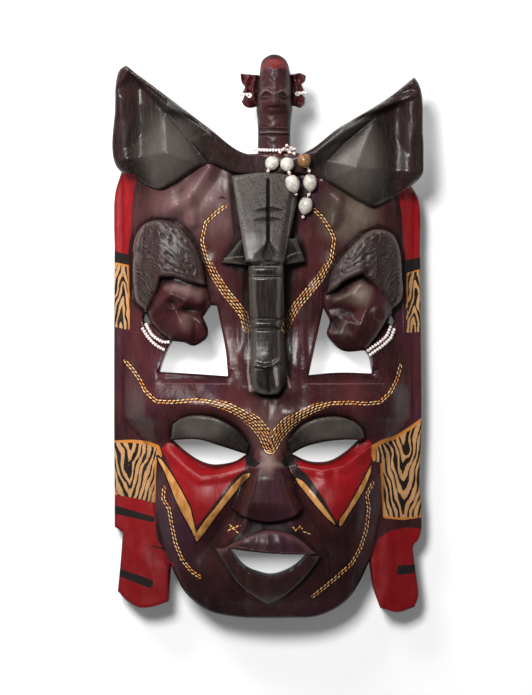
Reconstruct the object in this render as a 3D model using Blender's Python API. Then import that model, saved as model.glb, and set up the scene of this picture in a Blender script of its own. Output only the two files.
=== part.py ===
"""Carved wooden mask: a face under an elephant's head, two profile heads and a small long-necked head.

The mask lies on its back. +X is the viewer's right, +Y runs up to the crown, +Z comes out of the face.
The origin is at the middle of the underside. Metres.
"""

import math

import bmesh
import bpy
import numpy as np
from mathutils import Vector
from mathutils.bvhtree import BVHTree

# Driving sizes
HEIGHT = 0.350
WALL = 0.012
RIM_WIDTH = 0.014
EAR_THICKNESS = 0.014
FLOOR_GAP = 0.012
NECK_DEPTH = 0.022
SMALL_EAR_THICKNESS = 0.006
PIERCING = 0.0034
BEAD_DIAMETER = 0.0021
THREAD_DIAMETER = 0.0006
SEED_DIAMETER = 0.0086
SEED_LENGTH = 0.0110
SEED_BORE = 0.0014
CLEARANCE = 0.0003

# The carving is laid out in shares of the height: UNIT is one part in 350, from the middle of the front
UNIT = HEIGHT / 350
BODY_STEP = 3.8
FORM_STEP = 3.2
SMALL_STEP = 2.4
PLAIN_STEP = 8
BODY_TRIANGLES = 6700
BEAD_WAIST = 0.62

# Outlines, counter-clockwise from the lower left, in units
PANEL = [
    (-96, -101), (-95.2, -119), (-91, -122.5), (-92.7, -146), (-94, -159), (-88, -165), (-80.6, -169),
    (-71.3, -168.3), (-62, -165), (-61.7, -154), (-60.9, -141.4), (-57, -149.4), (-51, -159.5), (-37.8, -170),
    (-20.5, -174), (0, -174.8), (13.6, -174.6), (29, -174), (40.3, -170), (50.3, -163), (57.5, -152),
    (63.5, -139), (64.2, -144.5), (66, -157), (70.1, -169), (80.6, -172), (91.8, -169), (94.2, -162.4),
    (93.6, -153.8), (91.5, -138.3), (91.4, -130), (94.5, -126.5), (95.2, -88.7), (96.3, -51.5), (95.8, 4),
    (95.2, 54), (94.2, 86), (89.9, 94.5), (78, 90), (36, 109), (22, 113), (-9.5, 113), (-36, 110),
    (-82, 101), (-91.8, 103), (-95.6, 90), (-96, 54), (-96.3, -51.5),
]
WINDOW_LEFT = [
    (-35.3, 19.8), (-31.6, 19.2), (-28.5, 4.3), (-26, -9.3), (-24.8, -24.2), (-44.6, -22.9), (-67.6, -21.7),
    (-65.1, -14.3), (-62, -6.8), (-59.5, -2.5), (-51.5, -3.7), (-46.5, -5.6), (-41.5, -3.7), (-37.8, -0.6),
    (-37.2, 4.3), (-40.3, 12.4),
]
WINDOW_RIGHT = [
    (34.4, 18.4), (36.9, 13.5), (38.4, 9.9), (36.6, 2), (40.1, -3.6), (46.2, -8.5), (60.1, -8.4),
    (62.6, -11.5), (65, -22.7), (44.6, -22), (25.2, -23.6),
]
EYE_LEFT = [
    (-59.5, -63.9), (-42.8, -63.2), (-29.8, -67), (-13, -72.5), (-20, -76.9), (-27.3, -78.7),
    (-35.3, -79), (-43.4, -76.3), (-52.3, -70.4),
]
EYE_RIGHT = [
    (14.6, -72.3), (21.7, -68.2), (34.1, -64.7), (47.7, -63.4), (56.9, -63.7), (48.4, -71.3),
    (39.1, -76.6), (32.2, -77.7), (24.8, -76.9),
]
MOUTH = [
    (-24.7, -129.8), (0.6, -132.3), (25.1, -133.5), (17.6, -141.5), (9.3, -146.3), (2, -148.1),
    (-5.6, -146.6), (-13.7, -143),
]
STRING_GAP_LEFT = [(-76.2, 15.8), (-73, 8.7), (-76.3, 6.4), (-78, 11.2)]
STRING_GAP_RIGHT = [(76.6, 15), (79.4, 10.4), (78, 6), (75, 9)]
EAR_LEFT = [
    (-91.8, 103), (-95.3, 109.4), (-94.5, 140.7), (-93, 161.8), (-91.1, 165.5), (-87.4, 167.5),
    (-36.6, 128.8), (-16.7, 113.9), (-3, 110.5), (-3, 99), (-22, 101), (-36.6, 106), (-58.6, 94.9),
    (-67, 91.5), (-74.4, 93.3), (-83.1, 99.5),
]
EAR_RIGHT = [
    (89.9, 94.5), (74.2, 84.5), (64.6, 80.5), (55.2, 84.5), (34.6, 96), (22, 100), (8, 98), (8, 110),
    (21.9, 113), (44, 128.8), (70.2, 144.6), (90.3, 160.4), (93.3, 156.2), (95.2, 148.8),
    (95.7, 128.3), (95.5, 100.4),
]
TOP_HEAD = [
    (-6.4, 108), (-6.4, 133.9), (-7.1, 141.4), (-6.2, 152), (-5, 164.3), (-3.4, 171.1), (0, 173.9),
    (4, 174.8), (8.1, 173.7), (11.2, 171.1), (13.6, 164), (14.6, 152), (15.2, 140.7), (14.3, 133.9),
    (13.9, 108),
]
TOP_EAR_LEFT = [
    (-4, 144), (-11.2, 142), (-14.5, 144.5), (-15.5, 153.1), (-15.2, 160.6), (-13, 163.1), (-4, 162),
]
TOP_EAR_RIGHT = [
    (12, 143), (12, 163), (21.7, 163.4), (23.6, 160), (22.6, 156.2), (22.3, 146.9), (20.5, 142.9),
]
HEAD_LEFT = [
    (-72.5, 10), (-75, 16), (-81.5, 21.7), (-83.3, 33.1), (-83.8, 47.4), (-82.1, 61.8), (-76.3, 70.1),
    (-68.3, 72.4), (-55.8, 69.2), (-46.5, 58.9), (-40.9, 46.3), (-37.8, 31.9), (-35.3, 19.8),
    (-40.3, 12.4), (-37.2, 4.3), (-37.8, -0.6), (-41.5, -3.7), (-46.5, -5.6), (-51.5, -3.7), (-59.5, -2.5),
]
HEAD_RIGHT = [
    (72.5, 9.5), (66, -1), (58.5, -8.4), (46.2, -8.5), (40.1, -3.6), (36.6, 2), (38.4, 9.9), (34.4, 18.4),
    (34, 24), (39.1, 39.7), (46.3, 50), (54.6, 58.9), (62.6, 65.3), (69.2, 66.4), (75.6, 65.1),
    (80, 60.1), (83.1, 38.4), (82.5, 22.9), (77, 17),
]
FOREHEAD = [(-22.3, 99), (-13.4, 45.5), (10, 45.5), (16, 74), (21, 98), (0, 101)]
TRUNK = [
    (-11.2, 50), (-11.2, -18), (-10.4, -31), (-6, -35.3), (0, -36.4), (6.4, -35), (10.6, -30),
    (11.2, -18), (9.2, 10), (8.7, 50),
]
TUSK_LEFT = [(-28.5, 45.7), (-12, 44), (-10, 60), (-16, 60)]
TUSK_RIGHT = [(22.8, 46.5), (17.7, 60), (8, 60), (9, 44)]
LID_LEFT = [
    (-60.1, -63.6), (-42.8, -62.9), (-29.8, -66.7), (-13, -72.2), (-11.5, -66.6), (-19.8, -57),
    (-32.2, -50), (-44.6, -48.4), (-53.3, -50.2), (-58.9, -54),
]
LID_RIGHT = [
    (14.2, -72), (12.3, -64), (21.8, -54), (34.1, -49.5), (47.4, -50), (57.8, -56.2), (60, -62.6),
    (56.9, -63.4), (47.7, -63.1), (34.1, -64.4), (21.7, -67.9),
]
NOSE = [
    (-4, -66), (-7.5, -85), (-14.4, -108), (-12, -111.6), (0.6, -114), (13, -111.6), (14.8, -108),
    (8, -85), (5, -66),
]
UPPER_LIP = [
    (-26, -129.3), (-24.7, -129.7), (0.6, -132.1), (25.1, -133.4), (29.5, -133.3), (23.5, -127.4),
    (15, -121.5), (0, -118.6), (-14, -122.8), (-20.5, -126),
]
LOWER_LIP = [
    (-33, -130), (-25.5, -141), (-18, -152), (-8, -160), (0, -164.3), (9, -160), (21.9, -148.7),
    (32.6, -135.2), (25.1, -133.7), (17.6, -141.5), (9.3, -146.3), (2, -148.1), (-5.6, -146.6),
    (-13.7, -143), (-24.7, -130),
]
HAIR_LEFT = [
    (-75.2, 15.9), (-81.5, 21.7), (-83.3, 33.1), (-83.8, 47.4), (-82.1, 61.8), (-76.3, 70.1),
    (-68.3, 72.4), (-55.8, 69.2), (-46.5, 58.9), (-40.9, 46.3), (-38.4, 31.5), (-48.9, 33.6),
    (-58, 36.8), (-66.2, 36.6), (-68.2, 29.5), (-72, 21.5),
]
HAIR_RIGHT = [
    (36.2, 26.4), (39.1, 39.7), (46.3, 50), (54.6, 58.9), (62.6, 65.3), (69.2, 66.4), (75.6, 65.1),
    (80, 60.1), (83.1, 38.4), (82.5, 22.9), (77.5, 17.5), (71.9, 24), (65.9, 31.4), (58.3, 38.6),
    (47.4, 34.2), (41.4, 28.9),
]
BROW = [
    (-75, -43), (-55, -40), (-30, -42), (-11, -48), (0, -66), (11, -50), (30, -44), (50, -40), (75, -40),
]

# Heights of the carving above the floor, in units, along the mask from chin to crown
MIDLINE_PLACES = (-175, -166, -152, -122, -95, -72, -48, -30, -20, 0, 40, 80, 113)
MIDLINE_RISE = (3, 13, 20, 24, 23, 20, 27, 24, 18, 14, 16, 20, 20)
ARCH_PLACES = (-175, -140, -100, -66, -50, 113)
ARCH_HALF_WIDTH = (50, 64, 72, 76, 90, 91)
HOLLOW_HALF_WIDTH = (54, 69, 88, 91, 91, 91)
SIDE_LEVEL = 26
SIDE_DROP = 6
SIDE_START = 70
HALF_WIDTH = 96.3
HOLLOW_BOTTOM = -161
HOLLOW_TOP = 98
SOCKET_ROOM = 4
LEAST_DEPTH = 1
TOP_CENTRE_X = 4.2
TOP_CENTRE_Z = 34
NECK_HALF_WIDTH = 11.2

# Undersides of the forms, buried in the panel or the ears, each at its own height so that no two are level
HEAD_BACK = 31
HAIR_BACK = 32
LOWER_LIP_BACK = 36
LID_BACK = 38.5
TRUNK_BACK = 38
FOREHEAD_BACK = 40
TUSK_BACK = 41
NOSE_BACK = 42
UPPER_LIP_BACK = 43
CUT_LOW = -20
CUT_HIGH = 120

# Beads and seeds, in units: where each string runs over the front
STRING_Y = 116.5
STRING_TILT = 1.5
RING_LEFT = (-11.6, 150)
RING_RIGHT = (18.4, 151)
RING_REACH = 3.2
RING_BEADS = (3, 5, 7)
RING_POINTS = 20
STRING_POINTS = 36
KNOT = [(7.4, 113.6), (9.6, 115.6), (11.6, 117.8), (14.2, 116.4), (13.2, 113.6), (16.2, 112.6)]
STRANDS_LEFT = [
    [(-75.6, 7.6), (-72, 1.2), (-68.8, -1.2), (-65.1, -3.4), (-61.6, -3.2)],
    [(-77.8, 5), (-75, 0.6), (-72, -2.9), (-68.8, -5.6), (-64.6, -7.8)],
]
STRANDS_RIGHT = [
    [(76, 6.2), (74, 1), (69.2, -3.4), (65, -6.2), (62, -8.4)],
    [(78.4, 4.6), (76.4, -0.6), (71, -5.6), (66.6, -8.6), (63.4, -11)],
]
PENDANTS = [
    ((8.6, 110.6), [((2.4, 106.2), SEED_DIAMETER, "pale")], (0.4, 99)),
    ((12, 110.8), [((11.8, 105.4), SEED_DIAMETER, "pale"), ((15.2, 93.4), SEED_LENGTH, "pale")], (17.8, 86)),
    (
        (17.6, 110.6),
        [
            ((22.4, 107.6), SEED_DIAMETER, "brown"),
            ((26, 94.6), SEED_LENGTH, "pale"),
            ((23, 80.4), SEED_LENGTH, "pale"),
        ],
        (21.2, 72),
    ),
]


def smooth(t):
    """An S-shaped step from 0 to 1."""
    t = np.clip(t, 0, 1)
    return t * t * (3 - 2 * t)


def dome(x, y, centre, radii):
    """A rounded swelling that is 1 at its centre and 0 at the edge of its ellipse."""
    far = ((x - centre[0]) / radii[0]) ** 2 + ((y - centre[1]) / radii[1]) ** 2
    return np.sqrt(np.clip(1 - far, 0, 1))


def ridge(x, y, line, width):
    """1 on a line of points, falling to 0 at its width."""
    nearest = np.full(np.shape(x), 1e9)
    for (x0, y0), (x1, y1) in zip(line, line[1:]):
        length = (x1 - x0) ** 2 + (y1 - y0) ** 2
        along = np.clip(((x - x0) * (x1 - x0) + (y - y0) * (y1 - y0)) / length, 0, 1)
        nearest = np.minimum(nearest, np.hypot(x - x0 - along * (x1 - x0), y - y0 - along * (y1 - y0)))
    return smooth(1 - nearest / width)


def arch(x, half_width):
    """The bow of the board across its width, 1 along the middle and 0 at the sides."""
    return 1 - np.clip(np.abs(x) / half_width, 0, 1) ** 3


def panel_front(x, y):
    """The bowed board with its brow, sockets, cheeks and furrows."""
    side = SIDE_LEVEL - SIDE_DROP * smooth((np.abs(x) - SIDE_START) / (HALF_WIDTH - SIDE_START))
    half_width = np.interp(y, ARCH_PLACES, ARCH_HALF_WIDTH)
    level = side + np.interp(y, MIDLINE_PLACES, MIDLINE_RISE) * arch(x, half_width)
    level = level + 4 * ridge(x, y, BROW, 15)
    level = level + 5 * dome(x, y, (0, -138), (36, 34))
    for sign in (-1, 1):
        level = level - 7 * dome(x, y, (sign * 35, -66), (33, 17))
        furrow = [(sign * 11, -92), (sign * 24, -112), (sign * 35, -126), (sign * 34, -140)]
        level = level - 5 * ridge(x, y, furrow, 9)
        level = level + 4 * dome(x, y, (sign * 45, -103), (24, 26))
    return level


def panel_back(x, y):
    """The hollow inside: a smooth bow that keeps the wall behind the front and leaves a flat rim."""
    middle = (HOLLOW_TOP + HOLLOW_BOTTOM) / 2
    ends = np.clip(np.abs(y - middle) / (HOLLOW_TOP - middle), 0, 1)
    half_width = np.interp(y, ARCH_PLACES, HOLLOW_HALF_WIDTH) - RIM_WIDTH / UNIT
    depth = SIDE_LEVEL + np.interp(y, MIDLINE_PLACES, MIDLINE_RISE) - WALL / UNIT - SOCKET_ROOM
    return np.maximum(depth * arch(x, half_width) * (1 - ends ** 6), 0)


def ear_front(x, y, sign):
    """An elephant's ear: a crowned fold, a groove before the outer flap and a raised upper rim."""
    out = np.abs(x)
    level = 47 - 10 * smooth((out - 78) / 20) - 3 * smooth((40 - out) / 30)
    level = level + 7 * dome(x, y, (sign * 58, 117), (24, 34))
    level = level - 5 * ridge(x, y, [(sign * 80, 156), (sign * 77, 130), (sign * 78, 96)], 5)
    rim = [(sign * 91, 162), (sign * 62, 141), (sign * 36, 124), (sign * 12, 112)]
    return level + 4 * ridge(x, y, rim, 9)


def ear_back(x, y, sign):
    """The ear's underside follows its front at the ear's thickness, and stays off the floor."""
    return np.maximum(ear_front(x, y, sign) - EAR_THICKNESS / UNIT, FLOOR_GAP / UNIT)


def top_head_half(x, y):
    """Half the thickness of the small head and its neck, from its own centre plane."""
    neck = NECK_DEPTH / UNIT / 2
    across = (x - TOP_CENTRE_X) / NECK_HALF_WIDTH
    swell = neck + 5 * smooth((y - 137) / 8) - 8 * smooth((y - 164) / 11)
    rings = 1.2 * (ridge(x, y, [(-8, 128.5), (16, 128.5)], 1.6) + ridge(x, y, [(-8, 125), (16, 125)], 1.6))
    return np.maximum(swell * np.sqrt(np.clip(1 - across ** 2, 0.12, 1)) - rings, 2)


def top_head_front(x, y):
    """The small head: brow arches over sunken eyes, a long nose and a rounded chin."""
    level = TOP_CENTRE_Z + top_head_half(x, y)
    for sign in (-1, 1):
        level = level - 2.5 * dome(x, y, (TOP_CENTRE_X + sign * 5.5, 148), (4, 4))
    level = level + 3 * dome(x, y, (TOP_CENTRE_X, 146), (2.6, 7))
    return level + 2 * dome(x, y, (TOP_CENTRE_X, 140.5), (6, 3.4))


def top_head_back(x, y):
    return TOP_CENTRE_Z - top_head_half(x, y)


def profile_head(x, y, sign):
    """A head in profile that looks to the middle: brow, sunken eye, cheek and muzzle."""
    level = 40 + 7 * dome(x, y, (sign * 55, 14), (24, 26))
    level = level + 2.5 * ridge(x, y, [(sign * 62, 29), (sign * 50, 26), (sign * 38, 24)], 7)
    level = level - 3.5 * ridge(x, y, [(sign * 52, 17.5), (sign * 42, 15)], 4)
    return level + 2.5 * ridge(x, y, [(sign * 52, 15), (sign * 45, 3)], 5)


def hair_front(x, y, sign):
    """The cap of hair stands a step above the face."""
    return 42 + 13 * dome(x, y, (sign * 61, 42), (31, 42))


def forehead_front(x, y):
    """The elephant's forehead, parted by a groove that widens to the root of the trunk."""
    level = 53 + 9 * smooth((101 - y) / 24) + 5 * smooth((78 - y) / 34) - 6 * (np.abs(x + 0.4) / 20) ** 2
    groove = 1 + 3.5 * smooth((75 - y) / 25)
    level = level - 3 * smooth(1 - np.abs(x) / groove) * smooth((92 - y) / 6)
    for place in (77.6, 71.5):
        level = level - 2.5 * ridge(x, y, [(-8, place), (8, place)], 2.4)
    return level


def trunk_front(x, y):
    """The trunk, ringed at its root and middle, with a lip across its curled tip."""
    centre = -1.2 * smooth((y + 10) / 40)
    level = np.interp(y, (-37, -33, -28, -17, 0, 50), (53, 62, 66, 64, 61, 66))
    level = level - 7 * np.clip(np.abs(x - centre) / 11.5, 0, 1) ** 2.4
    for place in (44, 37, 10.8, 4.3):
        level = level - 1.8 * ridge(x, y, [(-12, place), (12, place)], 2)
    return level + 2.5 * ridge(x, y, [(-5, -19), (0, -15), (5, -19)], 3)


def tusk_front(x, y):
    return 62 - 0.35 * (np.abs(x) - 10)


def lid_front(x, y, sign):
    """A heavy upper eyelid, fullest over the middle of the eye."""
    return panel_front(x, y) + 2 + 7.5 * dome(x, y, (sign * 36, -66), (27, 19))


def nose_front(x, y):
    """The nose widens and rises from the brow to its tip."""
    along = (-66 - y) / 46
    spread = 4.5 + 11 * np.clip(along, 0, 1) ** 1.4
    return 50 + 20 * np.clip(along, 0, 1) ** 1.1 - 7 * np.clip(np.abs(x) / spread, 0, 1.3) ** 2


def upper_lip_front(x, y):
    """The upper lip overhangs the mouth."""
    return 63 - 9 * (np.abs(x - 1) / 28) ** 2 - 3 * smooth((y + 127) / 10)


def lower_lip_front(x, y):
    """The lower lip slopes from its pointed outer edge into the mouth."""
    inward = ridge(x, y, MOUTH[2:] + MOUTH[:1], 12)
    return 58 - 7 * (np.abs(x) / 32) ** 2 + 0.12 * (y + 150) - 5 * inward


def material(name, colour, roughness):
    made = bpy.data.materials.new(name)
    made.use_nodes = True
    shader = made.node_tree.nodes["Principled BSDF"]
    shader.inputs["Base Color"].default_value = (*colour, 1)
    shader.inputs["Roughness"].default_value = roughness
    shader.inputs["Metallic"].default_value = 0
    return made


def add_object(name, mesh, collection):
    made = bpy.data.objects.new(name, mesh)
    collection.objects.link(made)
    return made


def prism(name, outlines, low, high):
    """A closed prism over flat outlines, the first one its edge and the rest holes. Heights in units."""
    curve = bpy.data.curves.new(name, "CURVE")
    curve.dimensions = "2D"
    curve.fill_mode = "BOTH"
    curve.extrude = (high - low) / 2 * UNIT
    for outline in outlines:
        spline = curve.splines.new("POLY")
        spline.points.add(len(outline) - 1)
        for point, (x, y) in zip(spline.points, outline):
            point.co = (x * UNIT, y * UNIT, 0, 1)
        spline.use_cyclic_u = True
    made = add_object(name, curve, cutters)
    made.location.z = (high + low) / 2 * UNIT
    return solid_from_curve(made)


def solid_from_curve(source):
    """The curve's closed mesh, in place of the curve."""
    bpy.context.view_layer.update()
    evaluated = source.evaluated_get(bpy.context.evaluated_depsgraph_get())
    mesh = bpy.data.meshes.new_from_object(evaluated)
    name, place = source.name, source.matrix_world.copy()
    collection = source.users_collection[0]
    bpy.data.objects.remove(source)
    bm = bmesh.new()
    bm.from_mesh(mesh)
    bmesh.ops.remove_doubles(bm, verts=bm.verts, dist=1e-6)
    bmesh.ops.recalc_face_normals(bm, faces=bm.faces)
    bm.to_mesh(mesh)
    bm.free()
    made = add_object(name, mesh, collection)
    made.matrix_world = place
    return made


def join(target, other, operation):
    """Adds a Boolean with another object and applies it."""
    step = target.modifiers.new(operation.lower(), "BOOLEAN")
    step.operation = operation
    step.object = other
    bpy.context.view_layer.update()
    evaluated = target.evaluated_get(bpy.context.evaluated_depsgraph_get())
    mesh = bpy.data.meshes.new_from_object(evaluated)
    target.modifiers.clear()
    target.data = mesh
    bpy.data.objects.remove(other)


def carved_block(name, outlines, front, back, step):
    """A carved form: a slab between a front and a back surface, trimmed to its outline."""
    edge = np.array(outlines[0])
    low = edge.min(axis=0) - step
    high = edge.max(axis=0) + step
    counts = np.maximum(np.ceil((high - low) / step).astype(int), 2)
    bm = bmesh.new()
    bmesh.ops.create_grid(bm, x_segments=int(counts[0]), y_segments=int(counts[1]), size=0.5)
    lower = list(bm.verts)
    raised = bmesh.ops.extrude_face_region(bm, geom=list(bm.faces))
    upper = [piece for piece in raised["geom"] if isinstance(piece, bmesh.types.BMVert)]
    middle = (low + high) / 2
    for verts, is_front in ((lower, False), (upper, True)):
        spots = np.array([vert.co[:2] for vert in verts]) * (high - low) + middle
        heights = back(spots[:, 0], spots[:, 1])
        if is_front:
            heights = np.maximum(front(spots[:, 0], spots[:, 1]), heights + LEAST_DEPTH)
        for vert, (x, y), z in zip(verts, spots, heights):
            vert.co = (x * UNIT, y * UNIT, z * UNIT)
    bmesh.ops.recalc_face_normals(bm, faces=bm.faces)
    bmesh.ops.triangulate(bm, faces=bm.faces, quad_method="BEAUTY")
    mesh = bpy.data.meshes.new(name)
    bm.to_mesh(mesh)
    bm.free()
    slab = add_object(name, mesh, mask)
    join(slab, prism(name + "_outline", outlines, CUT_LOW, CUT_HIGH), "INTERSECT")
    return slab


def thin_out(target, triangles):
    """Collapses the flatter parts of a mesh until about this many triangles are left."""
    bm = bmesh.new()
    bm.from_mesh(target.data)
    bmesh.ops.triangulate(bm, faces=bm.faces)
    count = len(bm.faces)
    bm.to_mesh(target.data)
    bm.free()
    step = target.modifiers.new("thin_out", "DECIMATE")
    step.ratio = min(1, triangles / count)


def level_plane(height):
    """A flat surface for the hidden or plain side of a block."""
    return lambda x, y: np.full(np.shape(x), float(height))


def circle(centre, diameter, sides):
    """A round outline, in units."""
    radius = diameter / 2 / UNIT
    turns = [2 * math.pi * index / sides for index in range(sides)]
    return [(centre[0] + radius * math.cos(turn), centre[1] + radius * math.sin(turn)) for turn in turns]


def small_ear(name, outline, piercing):
    """One of the top head's flat ears, pierced for its ring."""
    half = SMALL_EAR_THICKNESS / UNIT / 2
    outlines = [outline, circle(piercing, PIERCING, 6)]
    front = level_plane(TOP_CENTRE_Z + half)
    back = level_plane(TOP_CENTRE_Z - half)
    return carved_block(name, outlines, front, back, PLAIN_STEP)


def pair(name, outlines, front, back):
    """A left and a right block that share their surfaces, which take the side's sign."""
    made = []
    for sign, outline in zip((-1, 1), outlines):
        made.append(carved_block(
            f"{name}{sign}",
            [outline],
            lambda x, y, sign=sign: front(x, y, sign),
            lambda x, y, sign=sign: back(x, y, sign),
            FORM_STEP,
        ))
    return made


def pair_on(name, outlines, front, back_height):
    """A pair of blocks with a level underside, buried in the panel."""
    return pair(name, outlines, front, lambda x, y, sign: level_plane(back_height)(x, y))


def carve_body():
    """The whole mask as one solid: the hollow panel with every form joined to it."""
    holes = [WINDOW_LEFT, WINDOW_RIGHT, EYE_LEFT, EYE_RIGHT, MOUTH, STRING_GAP_LEFT, STRING_GAP_RIGHT]
    body = carved_block("mask_body", [PANEL, *holes], panel_front, panel_back, BODY_STEP)
    forms = [
        *pair("ear", (EAR_LEFT, EAR_RIGHT), ear_front, ear_back),
        *pair_on("head", (HEAD_LEFT, HEAD_RIGHT), profile_head, HEAD_BACK),
        *pair_on("hair", (HAIR_LEFT, HAIR_RIGHT), hair_front, HAIR_BACK),
        *pair_on("lid", (LID_LEFT, LID_RIGHT), lid_front, LID_BACK),
        carved_block("top_head", [TOP_HEAD], top_head_front, top_head_back, SMALL_STEP),
        small_ear("small_ear_left", TOP_EAR_LEFT, RING_LEFT),
        small_ear("small_ear_right", TOP_EAR_RIGHT, RING_RIGHT),
        carved_block("forehead", [FOREHEAD], forehead_front, level_plane(FOREHEAD_BACK), SMALL_STEP),
        carved_block("trunk", [TRUNK], trunk_front, level_plane(TRUNK_BACK), SMALL_STEP),
        carved_block("tusk_left", [TUSK_LEFT], tusk_front, level_plane(TUSK_BACK), PLAIN_STEP),
        carved_block("tusk_right", [TUSK_RIGHT], tusk_front, level_plane(TUSK_BACK), PLAIN_STEP),
        carved_block("nose", [NOSE], nose_front, level_plane(NOSE_BACK), FORM_STEP),
        carved_block("upper_lip", [UPPER_LIP], upper_lip_front, level_plane(UPPER_LIP_BACK), FORM_STEP),
        carved_block("lower_lip", [LOWER_LIP], lower_lip_front, level_plane(LOWER_LIP_BACK), FORM_STEP),
    ]
    for form in forms:
        join(body, form, "UNION")
    thin_out(body, BODY_TRIANGLES)
    body.data.materials.clear()
    body.data.materials.append(material("stained_wood", (0.052, 0.02, 0.022), 0.35))
    return body


def surface_of(solid):
    """A tree of the solid's faces, to rest small pieces on it."""
    bpy.context.view_layer.update()
    evaluated = solid.evaluated_get(bpy.context.evaluated_depsgraph_get())
    bm = bmesh.new()
    bm.from_mesh(evaluated.to_mesh())
    tree = BVHTree.FromBMesh(bm)
    bm.free()
    evaluated.to_mesh_clear()
    return tree


def rest_height(tree, place, radius):
    """How high a ball's centre lies when it touches the carving from above, with the clearance kept."""
    high = 0
    for turn in range(8):
        for share in (0, 0.5, 1):
            x = place[0] * UNIT + radius * share * math.cos(turn * math.pi / 4)
            y = place[1] * UNIT + radius * share * math.sin(turn * math.pi / 4)
            hit = tree.ray_cast(Vector((x, y, HEIGHT)), Vector((0, 0, -1)))[0]
            if hit:
                high = max(high, hit.z + math.sqrt(max(radius ** 2 * (1 - share ** 2), 0)))
    return high + 2 * CLEARANCE


def tube(name, points, radii, finish, closed=False):
    """A round curve through the points, in metres, with its own radius at each."""
    curve = bpy.data.curves.new(name, "CURVE")
    curve.dimensions = "3D"
    curve.bevel_depth = 1
    curve.bevel_resolution = 0
    curve.use_fill_caps = True
    spline = curve.splines.new("POLY")
    spline.points.add(len(points) - 1)
    for spot, point, radius in zip(spline.points, points, radii):
        spot.co = (*point, 1)
        spot.radius = radius
    spline.use_cyclic_u = closed
    curve.materials.append(finish)
    return add_object(name, curve, mask)


def evenly(points, spacing):
    """Points at equal steps along a line of points, close to the spacing asked."""
    lengths = [(b - a).length for a, b in zip(points, points[1:])]
    count = max(round(sum(lengths) / spacing), 1)
    made = []
    for index in range(count + 1):
        left = sum(lengths) * index / count
        leg = 0
        while leg < len(lengths) - 1 and left > lengths[leg]:
            left -= lengths[leg]
            leg += 1
        made.append(points[leg].lerp(points[leg + 1], left / lengths[leg]))
    return made


def bead_strand(name, points, finish, closed=False):
    """Seed beads threaded side by side: a tube that swells at each bead and narrows between them."""
    steps = evenly(points, BEAD_DIAMETER / 2)
    if closed:
        steps = steps[:-1]
        steps = steps[:len(steps) // 2 * 2]
    radii = [BEAD_DIAMETER / 2 * (BEAD_WAIST, 1)[index % 2] for index in range(len(steps))]
    return tube(name, steps, radii, finish, closed)


def head_strands(tree, side, routes, finish):
    """The two strands of beads that lie under a profile head's jaw."""
    for number, route in enumerate(routes, 1):
        flat = [Vector((x * UNIT, y * UNIT, 0)) for x, y in route]
        points = evenly(flat, BEAD_DIAMETER)
        for point in points:
            point.z = rest_height(tree, (point.x / UNIT, point.y / UNIT), BEAD_DIAMETER / 2)
        bead_strand(f"{side}_head_bead_strand_{number}", points, finish)


def neck_string(finish):
    """The bead string round the small head's neck, lower in front."""
    reach = BEAD_DIAMETER / 2 + 2 * CLEARANCE
    across = NECK_HALF_WIDTH * UNIT + reach
    deep = NECK_DEPTH / 2 + reach
    points = []
    for index in range(STRING_POINTS + 1):
        turn = 2 * math.pi * index / STRING_POINTS
        points.append(Vector((
            TOP_CENTRE_X * UNIT + across * math.cos(turn),
            (STRING_Y - STRING_TILT * math.sin(turn)) * UNIT,
            TOP_CENTRE_Z * UNIT + deep * math.sin(turn),
        )))
    bead_strand("neck_bead_string", points, finish, closed=True)
    return max(point.z for point in points) + BEAD_DIAMETER / 2


def beads_on_thread(name, points, beads, finish):
    """A thread through the points, in metres, that swells into a bead at each marked one."""
    half = BEAD_DIAMETER / 2
    thin = THREAD_DIAMETER / 2
    end = half * BEAD_WAIST
    profile = ((-1.02, thin), (-1, end), (0, half), (1, end), (1.02, thin))
    spots, radii = [], []
    for index, point in enumerate(points):
        if index not in beads:
            spots.append(point)
            radii.append(thin)
            continue
        before = points[max(index - 1, 0)]
        after = points[min(index + 1, len(points) - 1)]
        way = (after - before).normalized()
        for share, size in profile:
            spots.append(point + way * half * share)
            radii.append(size)
    return tube(name, spots, radii, finish)


def seed(name, centre, way, length, finish):
    """A hollow-bored seed, narrower towards its tip, on the thread's line."""
    bm = bmesh.new()
    bmesh.ops.create_uvsphere(bm, u_segments=8, v_segments=6, radius=0.5)
    for vert in bm.verts:
        narrow = 1 - 0.16 * max(vert.co.z * 2, 0)
        vert.co = (vert.co.x * SEED_DIAMETER * narrow, vert.co.y * SEED_DIAMETER * narrow, vert.co.z * length)
    mesh = bpy.data.meshes.new(name)
    bm.to_mesh(mesh)
    bm.clear()
    bmesh.ops.create_cone(
        bm, cap_ends=True, segments=6, radius1=SEED_BORE / 2, radius2=SEED_BORE / 2, depth=length * 2,
    )
    bore_mesh = bpy.data.meshes.new(name + "_bore")
    bm.to_mesh(bore_mesh)
    bm.free()
    made = add_object(name, mesh, mask)
    join(made, add_object(name + "_bore", bore_mesh, cutters), "DIFFERENCE")
    made.data.materials.clear()
    made.data.materials.append(finish)
    made.location = centre
    made.rotation_euler = way.to_track_quat("Z", "Y").to_euler()
    return made


def resting(tree, place, radius):
    """The centre of a ball that lies on the carving at a place in units."""
    return Vector((place[0] * UNIT, place[1] * UNIT, rest_height(tree, place, radius)))


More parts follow.
